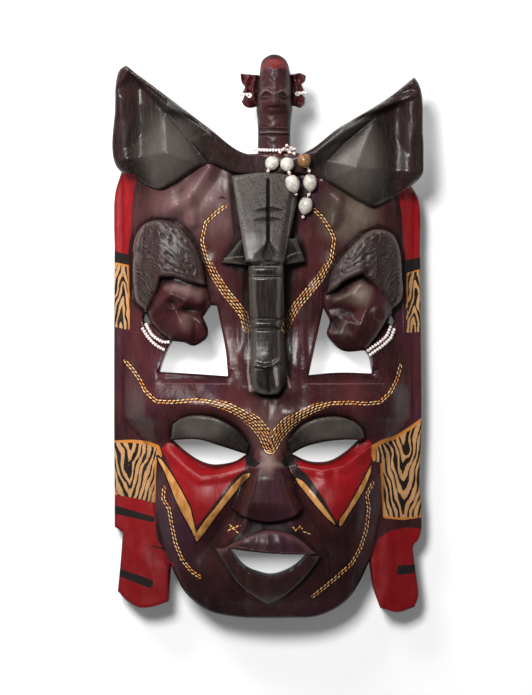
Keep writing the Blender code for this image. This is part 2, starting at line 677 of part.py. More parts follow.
def pendant(tree, number, start, chain, tail, first_seed):
    """A thread that runs down from the knot through its seeds, with a bead between them and at the tip."""
    centres = [resting(tree, link[0], SEED_DIAMETER / 2) for link in chain]
    end = resting(tree, tail, BEAD_DIAMETER / 2)
    stops = [start, *centres, end]
    points, beads = [start], []
    for index, (_, length, finish) in enumerate(chain, 1):
        way = (stops[index + 1] - stops[index - 1]).normalized()
        entry = stops[index] - way * (length / 2 + CLEARANCE * 2)
        leave = stops[index] + way * (length / 2 + CLEARANCE * 2)
        if index > 1 and (entry - points[-1]).length > BEAD_DIAMETER * 1.1:
            beads.append(len(points))
            points.append((points[-1] + entry) / 2)
        points += [entry, leave]
        seed(f"seed_{first_seed + index - 1}", stops[index], way, length, finishes[finish])
    way = (end - points[-1]).normalized()
    beads.append(len(points))
    for reach in (0.55, 1.2):
        point = points[-1] + way * BEAD_DIAMETER * reach
        point.z = max(point.z, rest_height(tree, (point.x / UNIT, point.y / UNIT), BEAD_DIAMETER / 2))
        points.append(point)
    beads_on_thread(f"pendant_thread_{number}", points, beads, finishes["thread"])


def ear_ring(side, place, sign, finish):
    """A wire ring with three beads, through the small ear's piercing and round its outer edge."""
    thick = SMALL_EAR_THICKNESS / 2 + BEAD_DIAMETER / 2 + 2 * CLEARANCE
    wide = RING_REACH * UNIT
    centre = Vector((place[0] * UNIT + sign * wide, place[1] * UNIT, TOP_CENTRE_Z * UNIT))
    spots, radii = [], []
    for index in range(RING_POINTS):
        turn = 2 * math.pi * index / RING_POINTS
        spots.append(centre + Vector((wide * math.cos(turn), 0, thick * math.sin(turn))))
        radii.append(BEAD_DIAMETER / 2 if index in RING_BEADS else THREAD_DIAMETER / 2)
    tube(f"{side}_ear_bead_loop", spots, radii, finish, closed=True)


# Clear the scene and set up the collections
for leftover in list(bpy.data.objects):
    bpy.data.objects.remove(leftover)
mask = bpy.data.collections.new("carved_mask")
cutters = bpy.data.collections.new("cutters")
bpy.context.scene.collection.children.link(mask)
bpy.context.scene.collection.children.link(cutters)

finishes = {
    "bead": material("white_bead", (0.82, 0.72, 0.68), 0.3),
    "thread": material("threaded_bead", (0.8, 0.62, 0.58), 0.35),
    "pale": material("pale_seed", (0.66, 0.63, 0.6), 0.35),
    "brown": material("brown_seed", (0.35, 0.17, 0.09), 0.4),
}
carving = surface_of(carve_body())
head_strands(carving, "left", STRANDS_LEFT, finishes["bead"])
head_strands(carving, "right", STRANDS_RIGHT, finishes["bead"])
string_top = neck_string(finishes["bead"])
knot = []
for place in KNOT:
    over_string = string_top + BEAD_DIAMETER / 2 + CLEARANCE * 2
    height = max(over_string, rest_height(carving, place, BEAD_DIAMETER / 2))
    knot.append(Vector((place[0] * UNIT, place[1] * UNIT, height)))
beads_on_thread("knot_beads", knot, range(len(knot)), finishes["thread"])
first_seed = 1
for number, (first, chain, tail) in enumerate(PENDANTS, 1):
    start = Vector((first[0] * UNIT, first[1] * UNIT, knot[0].z))
    pendant(carving, number, start, chain, tail, first_seed)
    first_seed += len(chain)
ear_ring("left", RING_LEFT, -1, finishes["bead"])
ear_ring("right", RING_RIGHT, 1, finishes["bead"])
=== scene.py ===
"""The carved mask as it looks: fine carving, stain, paint, beads and seeds, lying on a pale floor.

Shapes are laid out in millimetres on the CAD frame: +X right across the face, +Y to the crown, +Z out.
"""

import math

import bmesh
import bpy
import numpy as np
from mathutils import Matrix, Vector
from mathutils.bvhtree import BVHTree
from mathutils.geometry import delaunay_2d_cdt
from mathutils.kdtree import KDTree


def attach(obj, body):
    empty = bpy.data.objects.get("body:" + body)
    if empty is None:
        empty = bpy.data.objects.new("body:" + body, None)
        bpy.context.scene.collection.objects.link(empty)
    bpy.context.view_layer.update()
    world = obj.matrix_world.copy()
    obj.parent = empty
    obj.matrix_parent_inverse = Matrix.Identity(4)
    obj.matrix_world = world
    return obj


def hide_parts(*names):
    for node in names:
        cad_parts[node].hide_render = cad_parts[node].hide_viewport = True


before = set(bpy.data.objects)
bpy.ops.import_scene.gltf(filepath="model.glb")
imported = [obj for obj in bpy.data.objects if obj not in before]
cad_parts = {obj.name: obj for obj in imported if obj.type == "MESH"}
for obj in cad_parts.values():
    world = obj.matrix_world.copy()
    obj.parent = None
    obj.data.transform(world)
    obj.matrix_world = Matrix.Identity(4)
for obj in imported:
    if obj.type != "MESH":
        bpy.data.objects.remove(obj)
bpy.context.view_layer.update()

MM = 0.001

# Mesh spacing and the shape of cut edges
COARSE = 1.25
FINE = 0.8
BACK_SPACING = 4.0
OUTLINE_SPACING = 1.5
STEP_RUN = 0.45
GUIDE_RUNS = (0.5, 1.4)
GUIDE_GAP = 0.4
CORNER_TURN = 48
SHARP_ANGLE = 40
TOLERANCE = 0.02

# Outlines of the board and its openings
PANEL = [
    (-96, -101), (-96, -118.6), (-90.8, -122.3), (-92.7, -146), (-94, -159), (-88, -165), (-80.6, -169),
    (-71.3, -168.3), (-62, -165), (-61.7, -154), (-60.9, -141.4), (-57, -149.4), (-51, -159.5),
    (-37.8, -170), (-20.5, -174), (0, -174.8), (13.6, -174.6), (29, -174), (40.3, -170), (50.3, -163),
    (57.5, -152), (63.5, -139), (64.2, -144.5), (66, -157), (70.1, -169), (80.6, -172), (91.8, -169),
    (94.2, -162.4), (93.6, -153.8), (91.5, -138.3), (91.4, -130), (94.5, -126.5), (95.2, -88.7),
    (96.3, -51.5), (95.8, 4), (95.2, 54), (94.2, 86), (89.9, 94.5), (78, 90), (36, 109), (22, 113),
    (-9.5, 113), (-36, 110), (-82, 101), (-91.8, 103), (-95.6, 90), (-96, 54), (-96.3, -51.5),
]
WINDOW_LEFT = [
    (-35.3, 19.8), (-31.6, 19.2), (-28.5, 4.3), (-26, -9.3), (-24.8, -24.2), (-44.6, -22.9),
    (-67.6, -21.7), (-65.1, -14.3), (-62, -6.8), (-59.5, -2.5), (-51.5, -3.7), (-46.5, -5.6),
    (-41.5, -3.7), (-37.8, -0.6), (-37.2, 4.3), (-40.3, 12.4),
]
WINDOW_RIGHT = [
    (34.4, 18.4), (36.9, 13.5), (38.4, 9.9), (36.6, 2), (40.1, -3.6), (46.2, -8.5), (60.1, -8.4),
    (62.6, -11.5), (65, -22.7), (44.6, -22), (25.2, -23.6),
]
EYE_LEFT = [
    (-59.5, -63.9), (-42.8, -63.2), (-29.8, -67), (-13, -72.5), (-20, -76.9), (-27.3, -78.7),
    (-35.3, -79), (-43.4, -76.3), (-52.3, -70.4),
]
EYE_RIGHT = [
    (14.6, -72.3), (21.7, -68.2), (34.1, -64.7), (47.7, -63.4), (56.9, -63.7), (48.4, -71.3),
    (39.1, -76.6), (32.2, -77.7), (24.8, -76.9),
]
MOUTH = [
    (-24.7, -129.8), (0.6, -132.3), (25.1, -133.5), (17.6, -141.5), (9.3, -146.3), (2, -148.1),
    (-5.6, -146.6), (-13.7, -143),
]
STRING_GAP_LEFT = [(-76.2, 15.8), (-73, 8.7), (-76.3, 6.4), (-78, 11.2)]
STRING_GAP_RIGHT = [(76.6, 15), (79.4, 10.4), (78, 6), (75, 9)]

# Outlines of the raised forms
EAR_LEFT = [
    (-91.8, 103), (-95.3, 109.4), (-94.5, 140.7), (-93, 161.8), (-91.1, 165.5), (-87.4, 167.5),
    (-36.6, 128.8), (-16.7, 113.9), (2.6, 110.5), (2.6, 99), (-22, 101), (-36.6, 106), (-58.6, 94.9),
    (-67, 91.5), (-74.4, 93.3), (-83.1, 99.5),
]
EAR_RIGHT = [
    (89.9, 94.5), (74.2, 84.5), (64.6, 80.5), (55.2, 84.5), (34.6, 96), (22, 100), (2.6, 99), (2.6, 110.5),
    (21.9, 113), (44, 128.8), (70.2, 144.6), (90.3, 160.4), (93.3, 156.2), (95.2, 148.8),
    (95.7, 128.3), (95.5, 100.4),
]
TOP_HEAD = [
    (-6.4, 108), (-6.4, 133.9), (-7.1, 141.4), (-6.2, 152), (-5, 164.3), (-3.4, 171.1), (0, 173.9),
    (4, 174.8), (8.1, 173.7), (11.2, 171.1), (13.6, 164), (14.6, 152), (15.2, 140.7), (14.3, 133.9),
    (13.9, 108),
]
TOP_EAR_LEFT = [
    (-4, 144), (-7.2, 143.2), (-10.8, 142.2), (-14, 143), (-16.3, 146), (-14.8, 149.2), (-15.9, 151.7),
    (-14.2, 155), (-16.5, 158.8), (-17.1, 163.4), (-11.6, 163), (-6.8, 162.6), (-4, 162),
]
TOP_EAR_RIGHT = [
    (12, 143.4), (15.5, 143.6), (20.2, 142.2), (22.8, 144.6), (23.2, 148.5), (20.8, 151), (22.4, 153.3),
    (20.6, 156.8), (23.2, 159), (23.5, 162.2), (20.2, 163.8), (14.7, 162.8), (12, 162.6),
]
HEAD_LEFT = [
    (-72.5, 10), (-75, 16), (-81.5, 21.7), (-83.3, 33.1), (-83.8, 47.4), (-82.1, 61.8), (-76.3, 70.1),
    (-68.3, 72.4), (-55.8, 69.2), (-46.5, 58.9), (-40.9, 46.3), (-37.8, 31.9), WINDOW_LEFT[0],
    *WINDOW_LEFT[:8:-1],
]
HEAD_RIGHT = [
    (72.5, 9.5), (66, -1), (58.5, -8.4), *WINDOW_RIGHT[5:1:-1], WINDOW_RIGHT[0], (34, 24), (39.1, 39.7),
    (46.3, 50), (54.6, 58.9), (62.6, 65.3), (69.2, 66.4), (75.6, 65.1), (80, 60.1), (83.1, 38.4),
    (82.5, 22.9), (77, 17),
]
HAIR_LEFT = [
    (-75.2, 15.9), *HEAD_LEFT[2:11], (-38.4, 31.5), (-48.9, 33.6), (-58, 36.8), (-66.2, 36.6),
    (-68.2, 29.5), (-72, 21.5),
]
HAIR_RIGHT = [
    (36.2, 26.4), *HEAD_RIGHT[9:18], (77.5, 17.5), (71.9, 24), (65.9, 31.4), (58.3, 38.6),
    (47.4, 34.2), (41.4, 28.9),
]
FOREHEAD = [(-22.3, 99), (-13.4, 45.5), (10, 45.5), (16, 74), (21, 98), (0, 101)]
TRUNK = [
    (-12, 50), (-11.6, 30), (-10.6, 8), (-10.2, -18), (-10, -30), (-6, -34.3), (0, -35.4), (6.4, -34.4),
    (10.2, -29), (10.6, -16), (10, 10), (9.6, 50),
]
TUSK_LEFT = [(-28.5, 45.7), (-12, 44), (-10, 60), (-16, 60)]
TUSK_RIGHT = [(22.8, 46.5), (17.7, 60), (8, 60), (9, 44)]
LID_LEFT = [
    (-60.1, -63.6), (-42.8, -62.9), (-29.8, -66.7), (-13, -72.2), (-11.5, -66.6), (-19.8, -57),
    (-32.2, -50), (-44.6, -48.4), (-53.3, -50.2), (-58.9, -54),
]
LID_RIGHT = [
    (14.2, -72), (12.3, -64), (21.8, -54), (34.1, -49.5), (47.4, -50), (57.8, -56.2), (60, -62.6),
    (56.9, -63.4), (47.7, -63.1), (34.1, -64.4), (21.7, -67.9),
]
NOSE = [
    (-7, -66), (-15, -85), (-25, -103), (-19, -108), (-9, -112.5), (0.8, -114), (10.6, -112.5),
    (19, -108.5), (25, -103), (15, -85), (8, -66),
]
UPPER_LIP = [
    (-26, -129.3), (-24.7, -129.7), (0.6, -132.1), (25.1, -133.4), (29.5, -133.3), (23.5, -127.4),
    (15, -121.5), (0, -118.6), (-14, -122.8), (-20.5, -126),
]
LOWER_LIP = [
    (-33, -130), (-25.5, -141), (-18, -152), (-8, -160), (0, -164.3), (9, -160), (21.9, -148.7),
    (32.6, -135.2), (25.1, -133.7), *MOUTH[3:], (-24.7, -130),
]

# Painted areas
CHEEK_RED_LEFT = [
    (-66.2, -69.4), (-60.3, -64), (-55.6, -67.9), (-49.2, -72.9), (-42, -76.5), (-34.9, -78.6),
    (-26.4, -77.2), (-17.8, -73.9), (-13, -73.1), (-14.1, -81.5), (-17.1, -83.6), (-21.4, -87.2),
    (-30.6, -99.3), (-39.2, -110.6), (-44.2, -116.6), (-46, -113.5), (-49.2, -104.2), (-55.6, -90.7),
    (-61.3, -79.3), (-64.5, -72.9),
]
CHEEK_RED_RIGHT = [
    (64, -65.1), (65, -70.8), (62.6, -80.8), (58.3, -89.3), (53.3, -97.8), (46.9, -107.8), (43.1, -113.8),
    (40.5, -110.6), (34.8, -100.7), (28.4, -90.7), (24.2, -85), (19.9, -81.5), (17.8, -77.2),
    (23.4, -75.8), (29.9, -76.2), (37.7, -75.1), (46.2, -71.5), (53.3, -66.5), (56.9, -63.1), (60.5, -63.4),
]
LEAVES = [
    [(-68.8, -73.9), (-65.9, -76.5), (-60.5, -83.6), (-53.4, -95), (-47.7, -105.7), (-46, -113.5),
     (-44.6, -119.2), (-44.2, -126), (-47.7, -117.8), (-52.7, -109.2), (-57, -100.7), (-60.5, -92.1),
     (-64.1, -83.6), (-67.7, -77.2)],
    [(-10.7, -83.6), (-15.3, -84.7), (-22.1, -91.4), (-30.6, -102.8), (-39.2, -113.5), (-43.5, -119.9),
     (-44.6, -124.9), (-43.9, -126.6), (-39.2, -120.6), (-30.6, -108.5), (-22.1, -97.8), (-15, -89.3),
     (-11.4, -85.7)],
    [(16.6, -86.4), (21.3, -88.6), (28.4, -96.4), (34.8, -105), (39.8, -112.1), (42, -116.3),
     (37, -112.1), (30.6, -105), (24.2, -97.1), (18.5, -90)],
    [(64.7, -79), (63.6, -84.3), (59.7, -93.6), (54.8, -101.4), (49.1, -109.9), (45.5, -116.1),
     (43.8, -116.6), (44.2, -112.1), (47.6, -108.1), (53.3, -98.5), (58.3, -90), (62.3, -82.5)],
]
ZEBRA_LOWER_LEFT = [
    (-97.5, -64.8), (-84.7, -64), (-74.8, -64.8), (-67.7, -67.2), (-65.9, -72.2), (-66.2, -75.8),
    (-68.2, -74.3), (-69.1, -76.5), (-69.8, -86.4), (-69.8, -95), (-70.1, -103.2), (-81.9, -100.7),
    (-97.5, -98.3),
]
ZEBRA_LOWER_RIGHT = [
    (64.4, -67.2), (70.4, -64), (79, -61.5), (88.9, -55.8), (98.2, -48.7), (98.2, -69.4), (98.2, -90.7),
    (98.2, -112.5), (84.7, -114.2), (71.8, -112.8), (71.1, -100.7), (70.4, -87.9), (69.9, -77.9),
    (65.4, -77.2), (64.2, -73.6),
]
ZEBRA_UPPER_LEFT = [(-99, 47.6), (-86.7, 45), (-86.2, 23.6), (-86.4, 4.3), (-99, 7.3)]
ZEBRA_UPPER_RIGHT = [(86.4, 40), (98.9, 43.8), (98.9, 3.7), (86.4, 2.7), (86.1, 23.6)]
RED_STRIPS = [
    [(-97.5, -98.3), (-81.9, -100.4), (-69.9, -103.5), (-69.9, -112.1), (-69.8, -119.2), (-69.1, -126.3),
     (-64.8, -132), (-62.2, -139.1), (-58.4, -140.5), (-59.1, -170.4), (-79.8, -173.3), (-97.5, -167.6)],
    [(98.9, -119.9), (86.1, -118.9), (76.1, -120.9), (69.3, -125.2), (65.9, -132), (63.6, -140.5),
     (60.5, -161.9), (73.3, -176.1), (88.9, -176.1), (98.9, -167.6)],
    [(-99, 104.4), (-92.1, 103), (-81.2, 99.9), (-83.3, 93), (-84.7, 81.7), (-85.4, 70.3),
     (-85.9, 60.3), (-87.2, 51.5), (-99, 54.4)],
    [(98.9, 94.5), (89.6, 95.2), (81.1, 89.5), (83.2, 77.4), (84.4, 60.3), (85.8, 47.8), (98.9, 51)],
]
BLACK_BARS = [
    [(-97.5, -104.7), (-70.5, -112.1), (-70.8, -115.6), (-97.5, -110.1)],
    [(-97.5, -143.7), (-91.9, -145.1), (-76.2, -149.9), (-71.6, -151.9), (-71.6, -155.1),
     (-73.9, -156.5), (-92.1, -149.8), (-97.5, -148.4)],
    [(81.1, -142.7), (92.5, -142), (91.5, -147.7), (80.4, -148.5)],
    [(-99, 54.4), (-87.2, 51.5), (-86.7, 45), (-99, 47.6)],
    [(85.8, 47.8), (98.9, 51), (98.9, 43.6), (86.4, 40)],
    [(-14.4, -71.6), (-4.5, -77.4), (-8, -80), (-13.4, -79.2)],
    [(15.4, -71.6), (7.5, -76.6), (10.4, -80), (16.8, -78.6)],
    [(17.4, -77.6), (19.9, -81.5), (24.2, -85), (28.4, -90.7), (34.8, -100.7), (40.5, -110.6), (42.8, -115),
     (39.8, -112.1), (34.8, -105), (28.4, -96.4), (21.3, -88.6), (16.4, -86.2)],
]

ORANGE_LINES = [
    ([(-97.5, -65.6), (-84.7, -64.9), (-74.8, -65.8), (-68, -68.4), (-66.4, -74)], 0.8, 1.4),
    ([(-69.6, -77), (-70.4, -103)], 0.9, 0.6),
    ([(98.2, -49.8), (88.9, -57), (79, -62.5), (70.4, -65), (65.4, -68.5), (65.4, -76)], 0.9, 1.6),
    ([(70.6, -79), (71.8, -112)], 0.9, 0.9), ([(71.8, -112.3), (84.7, -113.6), (98.2, -112)], 0.8, 0.6),
    ([(-99, 47), (-87, 44.4)], 0.7, 0.7), ([(-86.9, 44), (-87.2, 5)], 0.5, 0.4),
    ([(86.6, 40.4), (98.9, 43.2)], 0.7, 0.7), ([(86.9, 40), (87.2, 3)], 0.5, 0.4),
]

# Rows of small gold dashes: the line they follow, from its start to its end, and half the width at each.
# A line narrower than SINGLE_ROW carries one row, along its middle.
DASH_ROW = 1.5
DASH_LENGTH = 2.8
SINGLE_ROW = 1
DASH_LINES = [
    ([(1.4, -67.9), (-2.2, -59.4), (-7.9, -52.5), (-16.4, -46.8), (-25, -42.6), (-33.5, -40.1),
      (-43.5, -38.7), (-59.1, -40.1), (-69.1, -39.7), (-76.2, -33.3), (-79.8, -26.2), (-84, -20.5),
      (-89, -15.1)], 4.6, 1.5),
    ([(1.4, -67.9), (6.4, -59.4), (12.1, -53.2), (20.6, -47.5), (29.1, -43.3), (39.1, -40.7),
      (50.5, -40.4), (60.5, -41.1), (69, -40.4), (76.1, -34), (80.4, -26.2), (82.5, -17.9)], 4.6, 1.5),
    ([(-26.4, 80.5), (-32.8, 76), (-38.5, 70.3), (-40.6, 60.3), (-40.6, 57.8), (-37.8, 47.8),
      (-32.8, 37.9), (-26.4, 27.9), (-19.3, 19.4), (-15, 13.7), (-12.9, 5.1)], 1.5, 2.9),
    ([(28.4, 78.5), (33.4, 73.8), (37.7, 67.4), (40.8, 61), (40.5, 57.8), (39.1, 47.8), (32, 36.4),
      (24.9, 27.9), (17.8, 19.4), (13.5, 12.2), (10.6, 5.1)], 1.5, 2.9),
    ([(-64.5, -93.6), (-65.1, -100.7), (-61.3, -106.4), (-59.4, -117.8), (-57.4, -127.7),
      (-53.4, -137.7), (-47.7, -144.8), (-42.3, -148.4)], 1.5, 1.5),
    ([(65, -90.7), (61.2, -97.8), (62.6, -106.4), (61.2, -119.2), (57.6, -130.6), (51.9, -140.5),
      (42, -149.1), (34.8, -154.8), (28, -160.2)], 1.5, 1.5),
    ([(-25.2, -119.6), (-17.6, -116)], 0.75, 0.75),
    ([(-24, -115.4), (-18.6, -120.4)], 0.75, 0.75),
    ([(14.9, -116.1), (17, -119.2), (19.9, -116.3), (22, -119.9), (25.6, -121.3)], 0.75, 0.75),
]

# Thin pale lines, partly worn edges and partly painted highlight along ridges and rings, and dark knife cuts,
# some of them painted shade: the line they follow, and half the width at its start and end
WORN_AND_GLINT_LINES = [
    ([(-10, 45), (6.5, 45)], 0.5, 0.3), ([(-10, 42.9), (6.5, 42.9)], 0.3, 0.3),
    ([(-9.6, 37.6), (6.5, 37.6)], 0.5, 0.3), ([(-9.4, 36), (6.5, 36)], 0.3, 0.2),
    ([(-7.6, 10.8), (4.1, 10.8)], 0.45, 0.3), ([(-7.6, 5.1), (4.1, 5.1)], 0.45, 0.3),
    ([(-12.4, 19), (-12, -6), (-12.3, -22.8), (-10.9, -33)], 0.1, 0.8),
    ([(11.6, 19), (11.2, -6), (11.2, -22), (13.6, -31)], 0.1, 0.8),
    ([(-7.7, -19.8), (-3.5, -20)], 0.5, 0.3), ([(4.4, -19), (5.6, -29)], 1.4, 1.0),
    ([(-70, -29.1), (-23.6, -29.1)], 0.3, 0.4), ([(22.9, -29.1), (72.5, -29.1)], 0.4, 0.3),
    ([(-63.4, -69.8), (-51, -79.8), (-41.5, -86.4), (-28.5, -84.9), (-13, -80.4)], 0.2, 0.4),
    ([(-88, 166.2), (-62, 146.8), (-38, 128.8)], 0.25, 0.35),
    ([(-84, 162.5), (-62, 142.6), (-37, 126)], 0.15, 0.3),
    ([(91, 159.6), (70, 143.8), (45, 128.6)], 0.25, 0.35), ([(86, 154), (69, 141.4), (48, 127.4)], 0.15, 0.3),
    ([(18.6, -79.8), (33, -82.6), (47.2, -79.8), (64.3, -67.5)], 0.5, 0.2),
    ([(15.5, 85.2), (10.5, 50.8)], 0.6, 0.4), ([(-26.7, 48.3), (-15.2, 49.4)], 0.5, 0.3),
    ([(10.2, 48), (13.4, 50.1), (19.1, 51.9), (21.3, 51.6)], 0.5, 0.3),
    ([(-19.5, -128.4), (0.6, -131.2), (24, -132.4)], 0.3, 0.3),
    ([(-5.6, 148.6), (-2.4, 151.8), (0, 151.6), (2.6, 150)], 0.3, 0.4),
    ([(5.6, 150), (8, 151.6), (10.2, 151.6), (12.4, 148.4)], 0.4, 0.3),
    ([(-4.6, 129.4), (12.6, 129.4)], 0.3, 0.3), ([(-4.6, 126.4), (12.6, 126.4)], 0.3, 0.3),
    ([(84, 67), (83.4, 44), (84.6, 2)], 0.2, 0.3), ([(-83.9, 42), (-84.2, 24)], 0.2, 0.3),
]
# Dark lines: knife cuts, and painted shade along the furrows beside the nose and in the arc under the nose
CUT_AND_SHADE_LINES = [
    ([(-78, -129.4), (-72, -130.4), (-64, -132)], 0.1, 0.9),
    ([(-17, -95), (-23.5, -105.4), (-31, -117.6), (-37.5, -131)], 0.1, 0.7),
    ([(14.4, -92), (21.8, -104), (31.6, -119.2), (40, -137)], 0.1, 0.7),
    ([(-4.4, 147.2), (0.4, 147)], 0.5, 0.4), ([(8, 147), (12, 147.2)], 0.4, 0.5),
    ([(1, 141.4), (7.4, 141.4)], 0.4, 0.4), ([(-5, 127.8), (13, 127.8)], 0.4, 0.4),
    ([(-5, 124.6), (13, 124.6)], 0.5, 0.5),
    ([(-83, 160.3), (-63.4, 138.6), (-48, 120.8), (-37, 108.4)], 0.3, 0.6),
    ([(87.6, 151.6), (67.6, 136.6), (49.1, 121.4), (37, 109)], 0.3, 0.6),
    ([(-65.5, 36.2), (-47.2, 32.6), (-39.3, 30.2)], 0.3, 0.5), ([(41.9, 28), (58.2, 37.6)], 0.7, 0.4),
    ([(-17.2, -106.8), (-8.5, -112.3), (1.1, -113.9), (10.6, -112.3), (17.8, -108.4)], 0.25, 0.25),
    ([(0.2, 97.3), (0.2, 58)], 0.7, 0.9), ([(-7.7, 77.2), (1.5, 77.8)], 0.1, 1.4),
    ([(10.9, 77.6), (1.5, 77.8)], 0.1, 1.4), ([(-8.1, 70.9), (0.8, 71.8)], 0.1, 1.1),
    ([(8.8, 71.8), (0.8, 71.8)], 0.1, 1.1), ([(0.2, 58), (0.2, 50)], 0.9, 4.2),
    ([(-31.6, 85.2), (-28.2, 86.2)], 0.1, 0.9), ([(-24.8, 84.6), (-28.2, 86.2)], 0.1, 0.9),
    ([(0.5, -21), (0.5, -34)], 0.5, 0.4),
    ([(-7.6, -18.4), (-2.2, -19.3), (3, -18.2), (6.8, -15.2)], 0.6, 0.5),
    ([(-52.5, 17.6), (-46, 17.4), (-41.4, 16.4)], 0.8, 0.4), ([(45, 15.6), (52, 15)], 0.6, 0.9),
    ([(-48, -2.4), (-41.5, -1.2), (-38.6, -1.4)], 0.3, 0.4), ([(39.6, -2.2), (46, -3.6)], 0.5, 0.3),
    ([(-36, -128), (-30.5, -134.5), (-22, -149)], 0.4, 0.5),
    ([(34, -131.5), (28.5, -141), (20, -151.5)], 0.4, 0.5),
]

# Flat knife cuts of the heads in profile and the ears: the (x, y, height) corners where they meet
HEAD_CUTS_LEFT = [
    (-67.1, 34.6, 42), (-57.6, 34.2, 45), (-47.2, 31.7, 46), (-39.3, 29.9, 43), (-64.3, 29.5, 45),
    (-60, 25.9, 49.5), (-50.4, 21.8, 49.5), (-41.7, 20.6, 46), (-38, 23.9, 42), (-60, 21, 43.5),
    (-50, 16.8, 42), (-42.5, 17, 41.5), (-39, 15.1, 40), (-56.8, 15.9, 46), (-53.6, 9.6, 49),
    (-48, 2, 47), (-48.4, 14.2, 43.5), (-44.7, 7.2, 43.5), (-44.7, 1.6, 43), (-39.7, 12.4, 41.5),
    (-40.9, 8.8, 45), (-36.9, 0.4, 41), (-40.9, -4.5, 39), (-47.2, -5.5, 40), (-53.6, -4, 40),
    (-60.8, -2.8, 38), (-73.5, 27.9, 40), (-65.5, 21.5, 47), (-73.5, 11.2, 37), (-67.9, 2.4, 38),
    (-56.8, 2.4, 46), (-76, 7, 33), (-83, 34, 34), (-82, 20, 33),
]
HEAD_CUTS_RIGHT = [
    (41.9, 28.4, 41.5), (58.2, 38, 43), (42.3, 22.5, 46), (57, 32.8, 49), (37, 24, 42), (52.2, 26.4, 49),
    (64.9, 29.6, 48), (60.9, 17.7, 49), (53, 18.4, 45.5), (45, 18.5, 42), (52.2, 15.6, 42.5),
    (45, 12.1, 42.5), (52.6, 11.6, 45), (57, 7.4, 49.5), (53, -0.6, 46), (47.4, 9.7, 46), (44.2, 1.8, 46.5),
    (35.5, 16.9, 41), (37.1, 12.1, 42.5), (39.5, 9.4, 40), (37.1, 1, 44), (41.1, -5.4, 41), (46.6, -8.6, 40),
    (60.1, -8.4, 39), (70.5, 16.9, 46), (73.7, 24.8, 42), (77, 12.1, 37), (73.7, 4, 38), (67.3, -2.4, 39),
    (63, 2, 45), (82, 24, 34), (80, 40, 34),
]
EAR_CUTS_LEFT = [
    (-91, 167, 46), (-62, 146.5, 52), (-36, 130.5, 53), (-17, 116, 52), (-86.2, 164.3, 49), (-62, 142.4, 57),
    (-36.3, 125.6, 58.5), (-28, 114.5, 57), (-83.5, 161, 45), (-63.4, 138.5, 47.5), (-48, 120.6, 48),
    (-36, 107.5, 49.5), (-62, 113, 57), (-95.3, 108.7, 43), (-95, 150, 46), (-92, 103, 41), (-76, 94.6, 41),
    (-66, 90.3, 45), (-58, 94.4, 48), (-36.5, 105, 48), (-20, 100.5, 51), (5, 98, 50), (5, 112, 50),
    (-16, 111, 54),
]
EAR_CUTS_RIGHT = [
    (91.5, 161, 46), (70, 146, 52), (44, 131, 53), (22, 115.5, 52), (89, 156.4, 49), (69, 141.6, 57),
    (47, 126.8, 58.5), (30, 113.5, 57), (88.5, 152.5, 45.5), (67.6, 136.8, 47.5), (49.1, 121.5, 48),
    (36, 108, 49.5), (54, 104, 58), (95.6, 101, 43), (95.2, 150, 45), (89.5, 94.2, 41), (79, 85.6, 41),
    (64.7, 80.5, 45), (54, 84.6, 48), (35, 95.5, 48), (22, 100, 51), (0, 97, 50), (0, 112, 50),
    (20, 111, 54),
]

# Where the maroon stain is paler, partly rubbed wear and partly painted sheen and highlight, as on the upper
# board and the nose root: centre, radii and how pale
PALE_WEAR_AND_SHEEN = [
    ((-42, 84), (46, 34), 0.9), ((50, 76), (26, 26), 1), ((0, -58), (30, 26), 0.4),
    ((0.5, -77.5), (6, 10), 1.3), ((-8, -78.4), (9, 3), 0.9), ((9, -78.4), (9, 3), 0.9),
    ((-57, 31), (9, 5), 0.9), ((-49, 28.6), (10, 6), 0.9), ((-42, 25.6), (6, 6), 0.6),
    ((-51, 10), (6, 9), 0.7), ((57, 27), (10, 12), 0.8), ((45, 24), (9, 5), 0.5), ((46, 4), (5, 8), 0.4),
]

# Heights of the board above the floor
BROW = [
    (-75, -43), (-55, -40), (-30, -42), (-11, -48), (0, -66), (11, -50), (30, -44), (50, -40), (75, -40),
]
MIDLINE_PLACES = (-175, -166, -152, -122, -95, -72, -48, -30, -20, 0, 40, 80, 113)
MIDLINE_RISE = (3, 13, 20, 24, 23, 20, 27, 24, 18, 14, 16, 20, 20)
BOARD_RIDGES = [
    ([(-36.3, 104.4), (-49.1, 85.9), (-64.8, 76)], 3.5, 8), ([(-49.1, 85.9), (-47, 70)], 3, 6),
    ([(33.4, 95.9), (42.7, 84.5), (61, 70)], 3.5, 8), ([(42.7, 84.5), (40, 70)], 3, 6),
    ([(-63.4, -69.8), (-51, -79.8), (-41.5, -86.4), (-28.5, -84.9), (-14, -80.7)], 2.4, 6),
    ([(18.6, -79.8), (33, -82.6), (47.2, -79.8), (64.3, -67.5)], 2.4, 6),
]
ARCH_PLACES = (-175, -140, -100, -66, -50, 113)
ARCH_HALF_WIDTH = (50, 64, 72, 76, 90, 91)
HOLLOW_HALF_WIDTH = (54, 69, 88, 91, 91, 91)
SIDE_LEVEL = 26
SIDE_DROP = 6
SIDE_START = 70
HALF_WIDTH = 96.3
HALF_HEIGHT = 174.8
FULL_DEPTH = 70
WALL = 12
RIM_WIDTH = 14
EAR_THICKNESS = 14
FLOOR_GAP = 12
HOLLOW_BOTTOM = -161
HOLLOW_TOP = 98
SOCKET_ROOM = 4
TOP_CENTRE_X = 4.2
TOP_CENTRE_Z = 34
NECK_HALF_WIDTH = 11.2
NECK_DEPTH = 22
SMALL_EAR_THICKNESS = 6
PIERCING = 3.4

